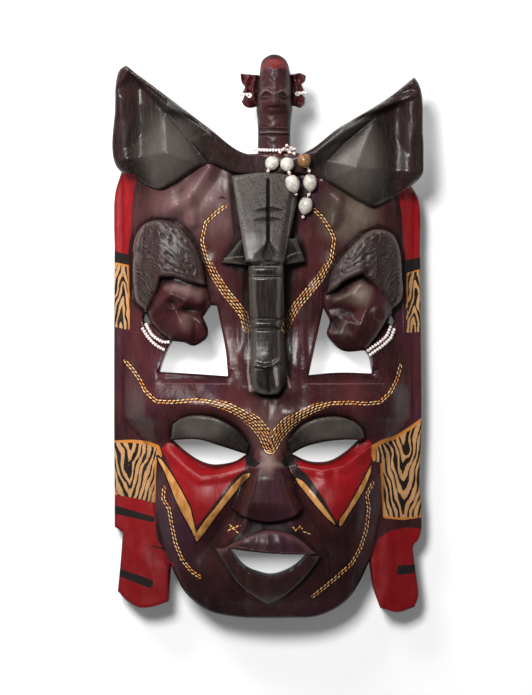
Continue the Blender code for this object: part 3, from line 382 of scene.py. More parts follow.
# Beads, seeds and threads
BEAD = 2.1
BEAD_SIDES = 14
THREAD = 0.5
THREAD_SIDES = 6
SEED_SIDES = 28
RAY_START = 0.2
SEED_DIAMETER = 8.6
SEED_LENGTH = 11.0
STRING_Y = 116.5
STRING_TILT = 1.5
RING_LEFT = (-11.6, 150)
RING_RIGHT = (18.4, 151)
RING_REACH = 3.2
KNOT = [(7.4, 113.6), (9.6, 115.6), (11.6, 117.8), (14.2, 116.4), (13.2, 113.6), (16.2, 112.6)]
STRANDS_LEFT = [
    [(-75.6, 7.6), (-72, 1.2), (-68.8, -1.2), (-65.1, -3.4), (-61.6, -3.2)],
    [(-77.8, 5), (-75, 0.6), (-72, -2.9), (-68.8, -5.6), (-64.6, -7.8)],
]
STRANDS_RIGHT = [
    [(76, 6.2), (74, 1), (69.2, -3.4), (65, -6.2), (62, -8.4)],
    [(78.4, 4.6), (76.4, -0.6), (71, -5.6), (66.6, -8.6), (63.4, -11)],
]
PENDANTS = [
    ((8.6, 110.6), [((2.4, 106.2), SEED_DIAMETER, "pale")], (0.4, 99)),
    ((12, 110.8), [((11.8, 105.4), SEED_DIAMETER, "pale"), ((15.2, 93.4), SEED_LENGTH, "pale")], (17.8, 86)),
    (
        (17.6, 110.6),
        [
            ((22.4, 107.6), SEED_DIAMETER, "brown"),
            ((26, 94.6), SEED_LENGTH, "pale"),
            ((23, 80.4), SEED_LENGTH, "pale"),
        ],
        (21.2, 72),
    ),
]

# Painted light: the floor under the mask glows through the holes, dimmer towards the top of each hole as
# painted shade: (place along Y, light)
GLOW = [
    (-160, 0.9), (-152, 0.8), (-138, 0.05), (-110, 0.1), (-84, 0.9), (-78, 0.75), (-67, 0.08),
    (-50, 0.1), (-30, 0.7), (-17, 0.7), (0, 0.16), (40, 0.1),
]
GLOW_START = -160
GLOW_LENGTH = 200

# The photograph's framing: millimetres shown from top to bottom, and the middle of the view
LENS = 150
SENSOR = 36
VIEW_HEIGHT = 431
VIEW_CENTRE = (-1.2, -6.5)
VIEW_LEVEL = 35


# Plane geometry

def softened(points, spacing=OUTLINE_SPACING):
    """A closed outline through the points, curved between them and kept sharp at its corners."""
    points = np.array(points, float)
    ahead = np.roll(points, -1, axis=0) - points
    length = np.hypot(*ahead.T)
    way = ahead / length[:, None]
    came = np.roll(way, 1, axis=0)
    turn = np.degrees(np.arccos(np.clip((way * came).sum(axis=1), -1, 1)))
    middle = way + came
    middle /= np.maximum(np.hypot(*middle.T), 1e-9)[:, None]
    sharp = (turn > CORNER_TURN)[:, None]
    leaving = np.where(sharp, way, middle)
    arriving = np.where(sharp, came, middle)
    made = []
    for index in range(len(points)):
        after = (index + 1) % len(points)
        start, end = points[index], points[after]
        out = leaving[index] * length[index]
        into = arriving[after] * length[index]
        count = max(1, round(length[index] / spacing))
        for t in np.arange(count) / count:
            made.append(
                (2 * t ** 3 - 3 * t ** 2 + 1) * start + (t ** 3 - 2 * t ** 2 + t) * out
                + (3 * t ** 2 - 2 * t ** 3) * end + (t ** 3 - t ** 2) * into
            )
    made = np.array(made)
    return np.clip(made, (-HALF_WIDTH, -HALF_HEIGHT), (HALF_WIDTH, HALF_HEIGHT))


def inside(x, y, outline):
    """Whether each point lies inside a closed outline."""
    crossed = np.zeros(len(x), bool)
    for (x0, y0), (x1, y1) in zip(outline, np.roll(outline, -1, axis=0)):
        spans = (y0 > y) != (y1 > y)
        if y1 != y0:
            crossed ^= spans & (x < (x1 - x0) * (y - y0) / (y1 - y0) + x0)
    return crossed


def depth(x, y, outline, reach=12.0):
    """Distance to a closed outline, positive inside it and limited to the reach."""
    result = np.full(len(x), -float(reach))
    low = outline.min(axis=0) - reach
    high = outline.max(axis=0) + reach
    near = (x > low[0]) & (x < high[0]) & (y > low[1]) & (y < high[1])
    if not near.any():
        return result
    px, py = x[near], y[near]
    nearest = np.full(len(px), reach ** 2)
    for (x0, y0), (x1, y1) in zip(outline, np.roll(outline, -1, axis=0)):
        dx, dy = x1 - x0, y1 - y0
        along = np.clip(((px - x0) * dx + (py - y0) * dy) / max(dx * dx + dy * dy, 1e-12), 0, 1)
        nearest = np.minimum(nearest, (px - x0 - along * dx) ** 2 + (py - y0 - along * dy) ** 2)
    result[near] = np.where(inside(px, py, outline), 1, -1) * np.sqrt(nearest)
    return result


def smooth(t):
    """An S-shaped step from 0 to 1."""
    t = np.clip(t, 0, 1)
    return t * t * (3 - 2 * t)


def dome(x, y, centre, radii):
    """A rounded swelling that is 1 at its centre and 0 at the edge of its ellipse."""
    far = ((x - centre[0]) / radii[0]) ** 2 + ((y - centre[1]) / radii[1]) ** 2
    return np.sqrt(np.clip(1 - far, 0, 1))


def swell(x, y, centre, radii):
    """A soft rise that is 1 at its centre and fades to 0 at the edge of its ellipse."""
    far = ((x - centre[0]) / radii[0]) ** 2 + ((y - centre[1]) / radii[1]) ** 2
    return np.clip(1 - far, 0, 1) ** 2


def bent(place, places, values):
    """A height that bends softly between the values at the given places."""
    return np.mean([np.interp(place + shift, places, values) for shift in (-9, -6, -3, 0, 3, 6, 9)], axis=0)


def faceted(x, y, cuts, softness):
    """Flat cuts that meet at (x, y, height) corners, with their edges rubbed soft."""
    places, triangles = triangulated([cut[:2] for cut in cuts], [])
    heights = [min(cuts, key=lambda cut: math.dist(cut[:2], place))[2] for place in places]
    total = np.zeros(len(x))
    for dx, dy in ((0, 0), (softness, 0), (-softness, 0), (0, softness), (0, -softness)):
        best = np.full(len(x), -1e9)
        level = np.zeros(len(x))
        for a, b, c in triangles:
            (ax, ay), (bx, by), (cx, cy) = places[a], places[b], places[c]
            area = (bx - ax) * (cy - ay) - (cx - ax) * (by - ay)
            v = ((x + dx - ax) * (cy - ay) - (cx - ax) * (y + dy - ay)) / area
            w = ((bx - ax) * (y + dy - ay) - (x + dx - ax) * (by - ay)) / area
            least = np.minimum(np.minimum(v, w), 1 - v - w)
            closer = least > best
            best = np.where(closer, least, best)
            v, w = np.clip(v, 0, 1), np.clip(w, 0, 1)
            level = np.where(closer, heights[a] * (1 - v - w) + heights[b] * v + heights[c] * w, level)
        total += np.clip(level, min(heights), max(heights)) / 5
    return total


def line_distance(x, y, line):
    """Distance to a line of points."""
    nearest = np.full(np.shape(x), 1e9)
    for (x0, y0), (x1, y1) in zip(line, line[1:]):
        length = (x1 - x0) ** 2 + (y1 - y0) ** 2
        along = np.clip(((x - x0) * (x1 - x0) + (y - y0) * (y1 - y0)) / length, 0, 1)
        nearest = np.minimum(nearest, np.hypot(x - x0 - along * (x1 - x0), y - y0 - along * (y1 - y0)))
    return nearest


def ridge(x, y, line, width):
    """1 on a line of points, falling to 0 at its width."""
    return smooth(1 - line_distance(x, y, line) / width)


def hashed(i, j, seed):
    """A fixed scatter of numbers from 0 to 1 for whole-number cells."""
    return np.abs(np.sin(i * 127.1 + j * 311.7 + seed * 74.7) * 43758.5453) % 1


def noise(x, y, size, seed=0):
    """Soft unevenness between -1 and 1, with features of about this size."""
    u, v = x / size, y / size
    i, j = np.floor(u), np.floor(v)
    s, t = smooth(u - i), smooth(v - j)
    low = hashed(i, j, seed) * (1 - s) + hashed(i + 1, j, seed) * s
    high = hashed(i, j + 1, seed) * (1 - s) + hashed(i + 1, j + 1, seed) * s
    return (low * (1 - t) + high * t) * 2 - 1


def strand_phase(x, y):
    """Counts the fine strands of hair from one side to the other as they bend over the two heads."""
    sign = np.sign(x)
    along = -sign * (x - sign * 40) * 0.75 - (y - 40) * 0.66
    across = -sign * (x - sign * 40) * 0.66 + (y - 40) * 0.75
    wander = 1.3 * noise(along / 1.3, across, 6, 3) + 0.7 * noise(along / 1.6, across, 2.6, 7)
    wander = wander + 0.45 * noise(along / 2.2, across, 1.3, 5)
    return across / 1.7 + 0.35 * np.sin(along / 3.5) + wander


# Carved surfaces

def arch(x, half_width):
    """The bow of the board across its width, 1 along the middle and 0 at the sides."""
    return 1 - np.clip(np.abs(x) / half_width, 0, 1) ** 3


def panel_front(x, y):
    """The bowed board with its brow, sockets, cheeks, furrows and window sills."""
    side = SIDE_LEVEL - SIDE_DROP * smooth((np.abs(x) - SIDE_START) / (HALF_WIDTH - SIDE_START))
    half_width = np.interp(y, ARCH_PLACES, ARCH_HALF_WIDTH)
    level = side + bent(y, MIDLINE_PLACES, MIDLINE_RISE) * arch(x, half_width)
    level = level + 4 * ridge(x, y, BROW, 15)
    level = level + 4.5 * swell(x, y, (0, -150), (44, 40))
    for sign in (-1, 1):
        level = level - 7.5 * swell(x, y, (sign * 36, -66), (40, 24))
        furrow = [(sign * 12, -94), (sign * 24, -112), (sign * 36, -128), (sign * 42, -143)]
        level = level - 5.5 * ridge(x, y, furrow, 11) * smooth((y + 150) / 26)
        level = level + 5 * swell(x, y, (sign * 46, -103), (30, 32))
        level = level + 2.5 * swell(x, y, (sign * 17, -104), (14, 18))
        beside = smooth((np.abs(x) - 12) / 4) * smooth((30 - np.abs(x)) / 8) * (x * sign > 0)
        flutes = np.cos(2 * math.pi * np.abs(x) / 5.6 + 1.5 * noise(x, y / 3, 5, 9))
        level = level + 0.09 * flutes * beside * smooth((46 - y) / 8) * smooth((y + 36) / 8)
    for line, rise, width in BOARD_RIDGES:
        level = level + rise * ridge(x, y, line, width)
    below = smooth((y + 29.6) / 5) * (y < -20)
    for low, high in ((-71, -20), (20, 72)):
        level = level - 2.4 * below * smooth((x - low) / 9) * smooth((high - x) / 9)
    knife = noise(x / 5, y / 14, 1, 11) * 0.5 + noise(x, y, 9, 4) * 0.35
    return level + knife * smooth((90 - np.abs(x)) / 10)


def panel_back(x, y):
    """The hollow inside: a smooth bow that keeps the wall behind the front and leaves a flat rim."""
    middle = (HOLLOW_TOP + HOLLOW_BOTTOM) / 2
    ends = np.clip(np.abs(y - middle) / (HOLLOW_TOP - middle), 0, 1)
    half_width = np.interp(y, ARCH_PLACES, HOLLOW_HALF_WIDTH) - RIM_WIDTH
    deep = SIDE_LEVEL + np.interp(y, MIDLINE_PLACES, MIDLINE_RISE) - WALL - SOCKET_ROOM
    return np.maximum(deep * arch(x, half_width) * (1 - ends ** 6), 0)


def ear_front(x, y, sign):
    """An elephant's ear: a rim band, a deep groove, a bright fold, a valley and an outer flap."""
    cuts = EAR_CUTS_LEFT if sign < 0 else EAR_CUTS_RIGHT
    level = faceted(x, y, cuts, 0.9) + 0.15 * noise(x, y, 7, 6)
    valley = [(sign * 80, 152), (sign * 78, 128), (sign * 76, 84)]
    flap = [(sign * 88, 148), (sign * 87, 100)]
    return level - 4 * ridge(x, y, valley, 13) + 1.6 * ridge(x, y, flap, 9)


def ear_back(x, y, sign):
    """The ear's underside follows its front at the ear's thickness, and stays off the floor."""
    return np.maximum(ear_front(x, y, sign) - EAR_THICKNESS, FLOOR_GAP)


def top_head_half(x, y):
    """Half the thickness of the small head and its neck, from its own centre plane."""
    across = (x - TOP_CENTRE_X) / NECK_HALF_WIDTH
    swell = NECK_DEPTH / 2 + 5 * smooth((y - 137) / 8) - 8 * smooth((y - 164) / 11)
    rings = 1.2 * (ridge(x, y, [(-8, 128.5), (16, 128.5)], 1.6) + ridge(x, y, [(-8, 125), (16, 125)], 1.6))
    return np.maximum(swell * np.sqrt(np.clip(1 - across ** 2, 0.12, 1)) - rings, 2)


def top_head_front(x, y):
    """The small head: brow arches over sunken eyes, a long nose, a mouth and a rounded chin."""
    level = TOP_CENTRE_Z + top_head_half(x, y)
    brows = [(-6, 148.6), (-1.6, 152.2), (2.6, 150), (4.2, 149), (5.8, 150), (10, 152), (12.6, 148.4)]
    level = level + 1.3 * ridge(x, y, brows, 2)
    for sign in (-1, 1):
        eye = (TOP_CENTRE_X + sign * 6, 147.4)
        level = level - 2.2 * swell(x, y, eye, (5, 4.5)) + 1.5 * swell(x, y, eye, (3, 1.6))
    level = level + 2.6 * ridge(x, y, [(4.2, 150), (4.2, 144.6)], 2.4)
    level = level + 1.4 * swell(x, y, (TOP_CENTRE_X, 142.6), (5, 2))
    level = level - 1.3 * ridge(x, y, [(1.6, 141.4), (6.8, 141.4)], 0.9)
    return level + 1.6 * swell(x, y, (TOP_CENTRE_X, 139.4), (6.5, 3)) + 0.3 * noise(x, y, 2.2, 4)


def top_head_back(x, y):
    """The back of the small head mirrors its front, without the face."""
    return TOP_CENTRE_Z - top_head_half(x, y)


def small_ear_front(x, y):
    """A curled, ragged little ear."""
    curl = 1.1 * np.sin(np.hypot(x - TOP_CENTRE_X, (y - 153) * 0.8) * 1.5)
    return TOP_CENTRE_Z + SMALL_EAR_THICKNESS / 2 - 1.2 + curl + 0.5 * noise(x, y, 1.6, 2)


def profile_head(x, y, sign):
    """A head in profile that looks to the middle, in flat knife cuts: brow, sunken eye, cheek, muzzle."""
    if sign < 0:
        return faceted(x, y, HEAD_CUTS_LEFT, 1.0) + 0.2 * noise(x, y, 4, 1)
    ear = [(66.5, 17.7), (64.1, 14.5), (64.9, 10.5), (68.9, 8.9), (72.9, 10.5)]
    return faceted(x, y, HEAD_CUTS_RIGHT, 1.1) + 1.8 * ridge(x, y, ear, 1.9) + 0.2 * noise(x, y, 4, 1)


def hair_front(x, y, sign):
    """The cap of hair: strands that bend back over the head and sink into the board behind it."""
    cap = 45 + 6 * swell(x, y, (sign * 56, 44), (36, 46)) - 9 * smooth((np.abs(x) - 66) / 17)
    roll = [(-64.7, 39.4), (-47.2, 34.6), (-40, 32)] if sign < 0 else [(41, 31), (48.5, 36.5), (57.6, 41)]
    strand = np.abs(np.sin(math.pi * strand_phase(x, y) / 2))
    off_roll = 1 - ridge(x, y, roll, 4)
    rough = np.clip(0.6 + noise(x, y, 2.6, 9), 0.1, 1.3)
    return cap + 1.6 * ridge(x, y, roll, 4.5) - 0.55 * rough * (1 - strand) * off_roll


def forehead_front(x, y):
    """The elephant's forehead, parted by a groove that widens to the root of the trunk."""
    level = 54.5 + 14.5 * (1 - (1 - np.clip((101 - y) / 56, 0, 1)) ** 1.5) + 0.1 * noise(x, y, 4, 8)
    side = np.interp(y, (46, 86, 100), (8.6, 15.4, 21))
    level = level - 2.4 * (np.abs(x + 1) / 20) ** 2 - 1.3 * np.maximum(x - side + 3, 0)
    triangle = 1 + 6.5 * smooth((58.5 - y) / 11)
    level = level - 2.6 * smooth(1.3 - np.abs(x - 0.2) / triangle) * smooth((98 - y) / 3)
    for left, right, place in ((-8.6, 11.2, 77.5), (-9, 9.2, 71.6)):
        across = np.clip((x - left) / (right - left), 0, 1)
        half = 1.7 * np.sin(math.pi * across)
        off = np.abs(y - place + 0.4 * np.abs(x - 1) / 8)
        level = level - 1.1 * smooth((half - off) / 0.9 + 0.4) * (half > 0.1)
    return level


def trunk_front(x, y):
    """The flat-faced trunk, ringed at its root and middle, with a lip across its curled tip."""
    level = bent(y, (-37, -33, -28, -17, 0, 50), (58, 60, 63, 64, 61.5, 65))
    face = np.interp(y, (-36, 10, 50), (7.6, 7.4, 9.4))
    level = level - 1.7 * np.maximum(np.abs(x + 0.5) - face, 0) - 0.8 * (np.abs(x) / 8) ** 2
    for place in (44, 36.8, 10.6, 4.9):
        level = level - 1.5 * ridge(x, y, [(-12, place), (12, place)], 1.3)
    for place in (40.4, 7.7):
        level = level + 0.8 * ridge(x, y, [(-12, place), (12, place)], 3)
    lip = [(-8.6, -17.2), (-2.2, -18.6), (3, -17.6), (7.4, -14.4)]
    level = level + 1.8 * ridge(x, y, lip, 2.6) - 1.4 * ridge(x, y, [(0.5, -22), (0.5, -34)], 1.8)
    return level + 1.2 * ridge(x, y, [(5.4, -20), (6, -31)], 2.4)


def tusk_front(x, y):
    """The short tusks beside the root of the trunk slope down and outward."""
    return 62 - 0.5 * (np.abs(x) - 10) - 0.4 * (60 - y)


def lid_front(x, y, sign):
    """A heavy upper eyelid, fullest over the middle of the eye."""
    return panel_front(x, y) + 2.2 + 9.5 * swell(x, y, (sign * 37, -63), (34, 22))


def nose_front(x, y):
    """The broad, flat-faced nose rises from the brow to its tip, and its sides run out into the cheeks."""
    along = np.clip((-66 - y) / 46, 0, 1)
    half = 2.6 + 9.5 * along ** 1.2
    off = np.maximum(np.abs(x - 0.6) - half, 0)
    top = 50 + 11.5 * smooth((-66 - y) / 22) - 0.8 * (np.abs(x - 0.6) / half).clip(0, 1) ** 2
    base = panel_front(x, y) - 0.4
    top = top - 6.5 * smooth((-y - 101) / 16)
    return top - (top - base) * smooth(off / (7 + 8 * along))


def gouges(x, width):
    """Side-by-side knife gouges with crests between them, from 0 in each middle to 1 on each crest."""
    return 1 - np.abs(np.sin(math.pi * x / width))


def upper_lip_front(x, y):
    """The upper lip overhangs the mouth, cut in upright gouges."""
    level = 63.5 - 9 * (np.abs(x - 1) / 28) ** 2 - 2.5 * smooth((y + 127) / 10)
    return level + 0.6 * gouges(x + 0.3 * (y + 125) * np.sign(x), 7.4) * smooth((-118 - y) / 3)


def lower_lip_front(x, y):
    """The lower lip rises from its pointed outer edge to the mouth."""
    inward = 1 - np.clip(line_distance(x, y, MOUTH[2:] + MOUTH[:1]) / 17, 0, 1)
    level = panel_front(x, y) + 1.2 + 5.5 * inward
    return level + 0.25 * gouges(x - 0.3 * (y + 150) * np.sign(x), 8.2)


def rounding(depths, radius):
    """How far a rounded edge falls below the surface, at each depth inside the outline."""
    t = 1 - np.clip(depths / radius, 0, 1)
    return radius * (1 - np.sqrt(np.clip(1 - t * t, 0, 1)))


class Form:
    """A raised form of the carving: its outline, its front surface and how round its edge is."""

    def __init__(self, outline, front, edge, dark=0.0):
        self.outline = softened(outline)
        self.front = front
        self.edge = edge
        self.dark = dark

    def covers(self, x, y, hole_depth):
        """Depth inside the form. A form that ends at an opening reaches right up to it."""
        depths = depth(x, y, self.outline, 8)
        return np.where((hole_depth > -1.5) & (depths > -0.8), np.maximum(depths, 0), depths)


def of_side(front, sign):
    """The surface of a form that each side has, on the left (-1) or right (1)."""
    return lambda x, y: front(x, y, sign)


HOLES = [softened(line) for line in (
    WINDOW_LEFT, WINDOW_RIGHT, EYE_LEFT, EYE_RIGHT, MOUTH, STRING_GAP_LEFT, STRING_GAP_RIGHT,
)]
BOARD = softened(PANEL)
FACE_FORMS = [
    Form(HEAD_LEFT, of_side(profile_head, -1), 2.2),
    Form(HEAD_RIGHT, of_side(profile_head, 1), 2.2),
    Form(HAIR_LEFT, of_side(hair_front, -1), 3.5, 0.6),
    Form(HAIR_RIGHT, of_side(hair_front, 1), 3.5, 0.6),
    Form(LID_LEFT, of_side(lid_front, -1), 2.0, 2),
    Form(LID_RIGHT, of_side(lid_front, 1), 2.0, 2),
    Form(FOREHEAD, forehead_front, 1.6, 1.6),
    Form(TRUNK, trunk_front, 1.4, 1),
    Form(TUSK_LEFT, tusk_front, 0.6, 1),
    Form(TUSK_RIGHT, tusk_front, 0.6, 1),
    Form(NOSE, nose_front, 1.6),
    Form(UPPER_LIP, upper_lip_front, 1.4),
    Form(LOWER_LIP, lower_lip_front, 1.0, 0.3),
]
EAR_FORMS = [
    Form(EAR_LEFT, of_side(ear_front, -1), 2.4, 2),
    Form(EAR_RIGHT, of_side(ear_front, 1), 2.4, 2),
]
TOP_FORMS = [
    Form(TOP_HEAD, top_head_front, 1.5, 0.4),
    Form(TOP_EAR_LEFT, small_ear_front, 1.2),
    Form(TOP_EAR_RIGHT, small_ear_front, 1.2),
]


def deepest(x, y, outlines, reach=12.0):
    """Depth inside whichever of the outlines holds each point best."""
    best = np.full(len(x), -float(reach))
    for outline in outlines:
        best = np.maximum(best, depth(x, y, outline, reach))
    return best


def face_level(x, y):
    """Height of the face's front, and how dark its stain is."""
    hole_depth = deepest(x, y, HOLES, 6)
    board_depth = np.minimum(depth(x, y, BOARD, 6), -hole_depth)
    level = panel_front(x, y) - rounding(board_depth, 1.6)
    dark = np.zeros(len(x))
    for form in FACE_FORMS:
        covered = form.covers(x, y, hole_depth)
        top = form.front(x, y) - rounding(covered, form.edge)
        higher = (covered >= -TOLERANCE) & (top > level)
        level = np.where(higher, top, level)
        dark = np.where(higher, form.dark, dark)
    return level, dark


def forms_level(forms):
    """A piece made of forms alone: the height of its front, and how dark its stain is."""
    def level_of(x, y):
        level = np.full(len(x), -1e3)
        dark = np.zeros(len(x))
        for form in forms:
            covered = depth(x, y, form.outline, 6)
            top = form.front(x, y) - rounding(np.maximum(covered, 0), form.edge)
            higher = (covered >= -TOLERANCE) & (top > level)
            level = np.where(higher, top, level)
            dark = np.where(higher, form.dark, dark)
        return level, dark
    return level_of


def ears_under(x, y):
    """The underside of both elephant's ears."""
    return np.maximum(np.where(x < 0, ear_back(x, y, -1), ear_back(x, y, 1)), FLOOR_GAP)


def top_under(x, y):
    """The back of the small head, and of its flat ears beside it."""
    on_head = depth(x, y, TOP_FORMS[0].outline, 4) >= -TOLERANCE
    return np.where(on_head, top_head_back(x, y), TOP_CENTRE_Z - SMALL_EAR_THICKNESS / 2)


# Mesh building

def shifted(outline, distance):
    """Points beside a closed outline, outward where the distance is above 0, and which of them hold."""
    ahead = np.roll(outline, -1, axis=0) - np.roll(outline, 1, axis=0)
    area = np.sum(outline[:, 0] * np.roll(outline[:, 1], -1) - np.roll(outline[:, 0], -1) * outline[:, 1])
    normal = np.stack([ahead[:, 1], -ahead[:, 0]], axis=1) * np.sign(area)
    normal /= np.maximum(np.hypot(*normal.T), 1e-9)[:, None]
    moved = outline + normal * distance
    held = np.abs(depth(moved[:, 0], moved[:, 1], outline, 6)) > 0.85 * abs(distance)
    return moved, held


def hex_grid(low, high, spacing):
    """Evenly scattered points in a box, in offset rows."""
    rows = np.arange(low[1], high[1], spacing * 0.866)
    columns = np.arange(low[0], high[0], spacing)
    x = np.concatenate([columns + (index % 2) * spacing / 2 for index in range(len(rows))])
    y = np.repeat(rows, len(columns))
    return x, y


def triangulated(points, edges):
    """A triangle net over the points that keeps the edges."""
    result = delaunay_2d_cdt([Vector(p) for p in points], edges, [], 0, 1e-5, False)
    return np.array([tuple(p) for p in result[0]]), np.array(result[2])


def fixed_points(outlines, holes, steps):
    """The points on and beside the outlines, and the edges along the outlines that the net keeps."""
    points, edges, guides = [], [], []
    for outline in [*outlines, *holes, *steps]:
        first = len(points)
        count = len(outline)
        points.extend(outline)
        edges.extend((first + i, first + (i + 1) % count) for i in range(count))
    for outline in steps:
        moved, held = shifted(outline, STEP_RUN)
        first = len(points)
        count = len(moved)
        places = np.cumsum(held) - 1
        points.extend(moved[held])
        for i in range(count):
            if held[i] and held[(i + 1) % count]:
                edges.append((first + places[i], first + places[(i + 1) % count]))
    for outline, way in [(line, -1) for line in [*outlines, *steps]] + [(line, 1) for line in holes]:
        for distance in GUIDE_RUNS:
            moved, held = shifted(outline, way * distance)
            guides.extend(moved[held])
    guides = spread_out(np.array(guides), np.array(points), GUIDE_GAP)
    return np.concatenate([np.array(points), guides]), edges


def shell(name, outlines, holes, steps, level_of, under, is_fine):
    """A closed carved piece between a front and a back surface, inside any outline and outside the holes."""
    fixed, edges = fixed_points(outlines, holes, steps)
    low = fixed.min(axis=0) - COARSE
    high = fixed.max(axis=0) + COARSE
    loose = []
    for spacing, wants_fine in ((COARSE, False), (FINE, True)):
        x, y = hex_grid(low, high, spacing)
        keep = is_fine(x, y) == wants_fine
        keep &= deepest(x, y, outlines, 3) > 0
        keep &= deepest(x, y, holes, 3) < 0 if holes else True
        loose.append(spread_out(np.stack([x[keep], y[keep]], axis=1), fixed, 0.6 * spacing, among=False))
    places, triangles = triangulated(np.concatenate([fixed, *loose]), edges)
    triangles = within(places, triangles, outlines, holes)
    front_z, dark = level_of(places[:, 0], places[:, 1])
    rim = border(triangles)
    under_places, under_triangles = back_net(places, rim, np.unique(rim), outlines, holes, low, high)
    return assembled(name, places, triangles, front_z, dark, rim, under_places, under_triangles, under)


def spread_out(points, others, gap, among=True):
    """The points that lie further than the gap from the others, and from each other if asked."""
    tree = KDTree(len(others) + (len(points) if among else 0))
    for index, (x, y) in enumerate(others):
        tree.insert((x, y, 0), index)
    if among:
        for index, (x, y) in enumerate(points):
            tree.insert((x, y, 0), len(others) + index)
    tree.balance()
    kept = np.ones(len(points), bool)
    for index, (x, y) in enumerate(points):
        for _, found, _ in tree.find_range((x, y, 0), gap):
            if found < len(others) or (found - len(others) < index and kept[found - len(others)]):
                kept[index] = False
                break
    return points[kept]


def within(places, triangles, outlines, holes):
    """The triangles whose middle lies in the piece."""
    middle = places[triangles].mean(axis=1)
    x, y = middle[:, 0], middle[:, 1]
    kept = np.zeros(len(x), bool)
    for outline in outlines:
        kept |= inside(x, y, outline)
    for outline in holes:
        kept &= ~inside(x, y, outline)
    a, b, c = places[triangles[:, 0]], places[triangles[:, 1]], places[triangles[:, 2]]
    area = (b[:, 0] - a[:, 0]) * (c[:, 1] - a[:, 1]) - (b[:, 1] - a[:, 1]) * (c[:, 0] - a[:, 0])
    triangles = np.where((area < 0)[:, None], triangles[:, ::-1], triangles)
    return triangles[kept & (np.abs(area) > 1e-7)]


def border(triangles):
    """The edges that only one triangle has, as pairs of points in its order."""
    pairs = np.concatenate([triangles[:, [0, 1]], triangles[:, [1, 2]], triangles[:, [2, 0]]])
    keys = np.sort(pairs, axis=1)
    _, place, times = np.unique(keys, axis=0, return_index=True, return_counts=True)
    return pairs[place[times == 1]]


def back_net(places, rim, rim_points, outlines, holes, low, high):
    """A coarser net with exactly the front's border."""
    number = {point: index for index, point in enumerate(rim_points)}
    edges = [(number[a], number[b]) for a, b in rim]
    x, y = hex_grid(low, high, BACK_SPACING)
    keep = deepest(x, y, outlines, 3) > 1
    if holes:
        keep &= deepest(x, y, holes, 3) < -1
    loose = spread_out(np.stack([x[keep], y[keep]], axis=1), places[rim_points], 1.2, among=False)
    net, triangles = triangulated(np.concatenate([places[rim_points], loose]), edges)
    triangles = within(net, triangles, outlines, holes)
    return net, triangles


def assembled(name, places, triangles, front_z, dark, rim, under_places, under_triangles, under):
    """The closed mesh from a front net, a back net and the walls between their borders."""
    count = len(places)
    under_z = under(under_places[:, 0], under_places[:, 1])
    tree = KDTree(len(under_places))
    for index, (x, y) in enumerate(under_places):
        tree.insert((x, y, 0), index)
    tree.balance()
    partner = {}
    for point in np.unique(rim):
        partner[point] = count + tree.find((*places[point], 0))[1]
    walls = [(b, a, partner[a], partner[b]) for a, b in rim]
    used = np.unique(triangles)
    front_z[used] = np.minimum(front_z[used], FULL_DEPTH)
    verts = np.concatenate([
        np.column_stack([places, front_z]), np.column_stack([under_places, under_z]),
    ])
    faces = [tuple(face) for face in triangles]
    faces += [tuple(face + count) for face in under_triangles[:, ::-1]]
    faces += walls
    mesh = bpy.data.meshes.new(name)
    mesh.from_pydata((verts * MM).tolist(), [], [tuple(int(v) for v in face) for face in faces])
    is_front = np.concatenate([np.ones(count), np.zeros(len(under_places))])
    darkness = np.concatenate([dark, np.zeros(len(under_places))])
    set_value(mesh, "front", is_front)
    set_value(mesh, "dark", darkness)
    bm = bmesh.new()
    bm.from_mesh(mesh)
    loose = [vert for vert in bm.verts if not vert.link_faces]
    bmesh.ops.delete(bm, geom=loose, context="VERTS")
    bm.to_mesh(mesh)
    bm.free()
    mesh.shade_smooth()
    mesh.set_sharp_from_angle(angle=math.radians(SHARP_ANGLE))
    made = bpy.data.objects.new(name, mesh)
    bpy.context.scene.collection.objects.link(made)
    return made


def set_value(mesh, name, values):
    """A number at each point of a mesh, for its material to read."""
    found = mesh.attributes.get(name) or mesh.attributes.new(name, "FLOAT", "POINT")
    found.data.foreach_set("value", np.asarray(values, np.float32))


def corners(mesh):
    """The mesh's points, in millimetres."""
    flat = np.zeros(len(mesh.vertices) * 3, np.float32)
    mesh.vertices.foreach_get("co", flat)
    return flat.reshape(-1, 3) / MM


# Paint layout

def line_layout(x, y, lines):
    """For each point: how far along the nearest line it lies, how far across, and the room left inside it."""
    best = np.full(len(x), -40.0)
    along_best = np.zeros(len(x))
    across_best = np.full(len(x), 40.0)
    for line, wide, narrow in lines:
        line = np.array(line)
        lengths = np.hypot(*(line[1:] - line[:-1]).T)
        starts = np.concatenate([[0], np.cumsum(lengths)])
        nearest = np.full(len(x), 1e9)
        along_here = np.zeros(len(x))
        across_here = np.zeros(len(x))
        for (x0, y0), (x1, y1), length, start in zip(line, line[1:], lengths, starts):
            dx, dy = (x1 - x0) / length, (y1 - y0) / length
            t = (x - x0) * dx + (y - y0) * dy
            side = (x - x0) * dy - (y - y0) * dx
            off = np.hypot(side, t - np.clip(t, 0, length))
            closer = off < nearest
            nearest = np.where(closer, off, nearest)
            along_here = np.where(closer, start + np.clip(t, -1, length + 1), along_here)
            signed = np.where(np.abs(side) < 1e-9, off, np.sign(side) * off)
            across_here = np.where(closer, signed, across_here)
        if wide < SINGLE_ROW:
            across_here = across_here + wide
        share = np.clip(along_here / starts[-1], 0, 1)
        turning = share * 1.8 if wide > 2 * narrow else share
        half = wide + (narrow - wide) * smooth(turning)
        room = half - nearest
        better = room > best
        best = np.where(better, room, best)
        along_best = np.where(better, along_here, along_best)
        across_best = np.where(better, across_here, across_best)
    return along_best, across_best, best


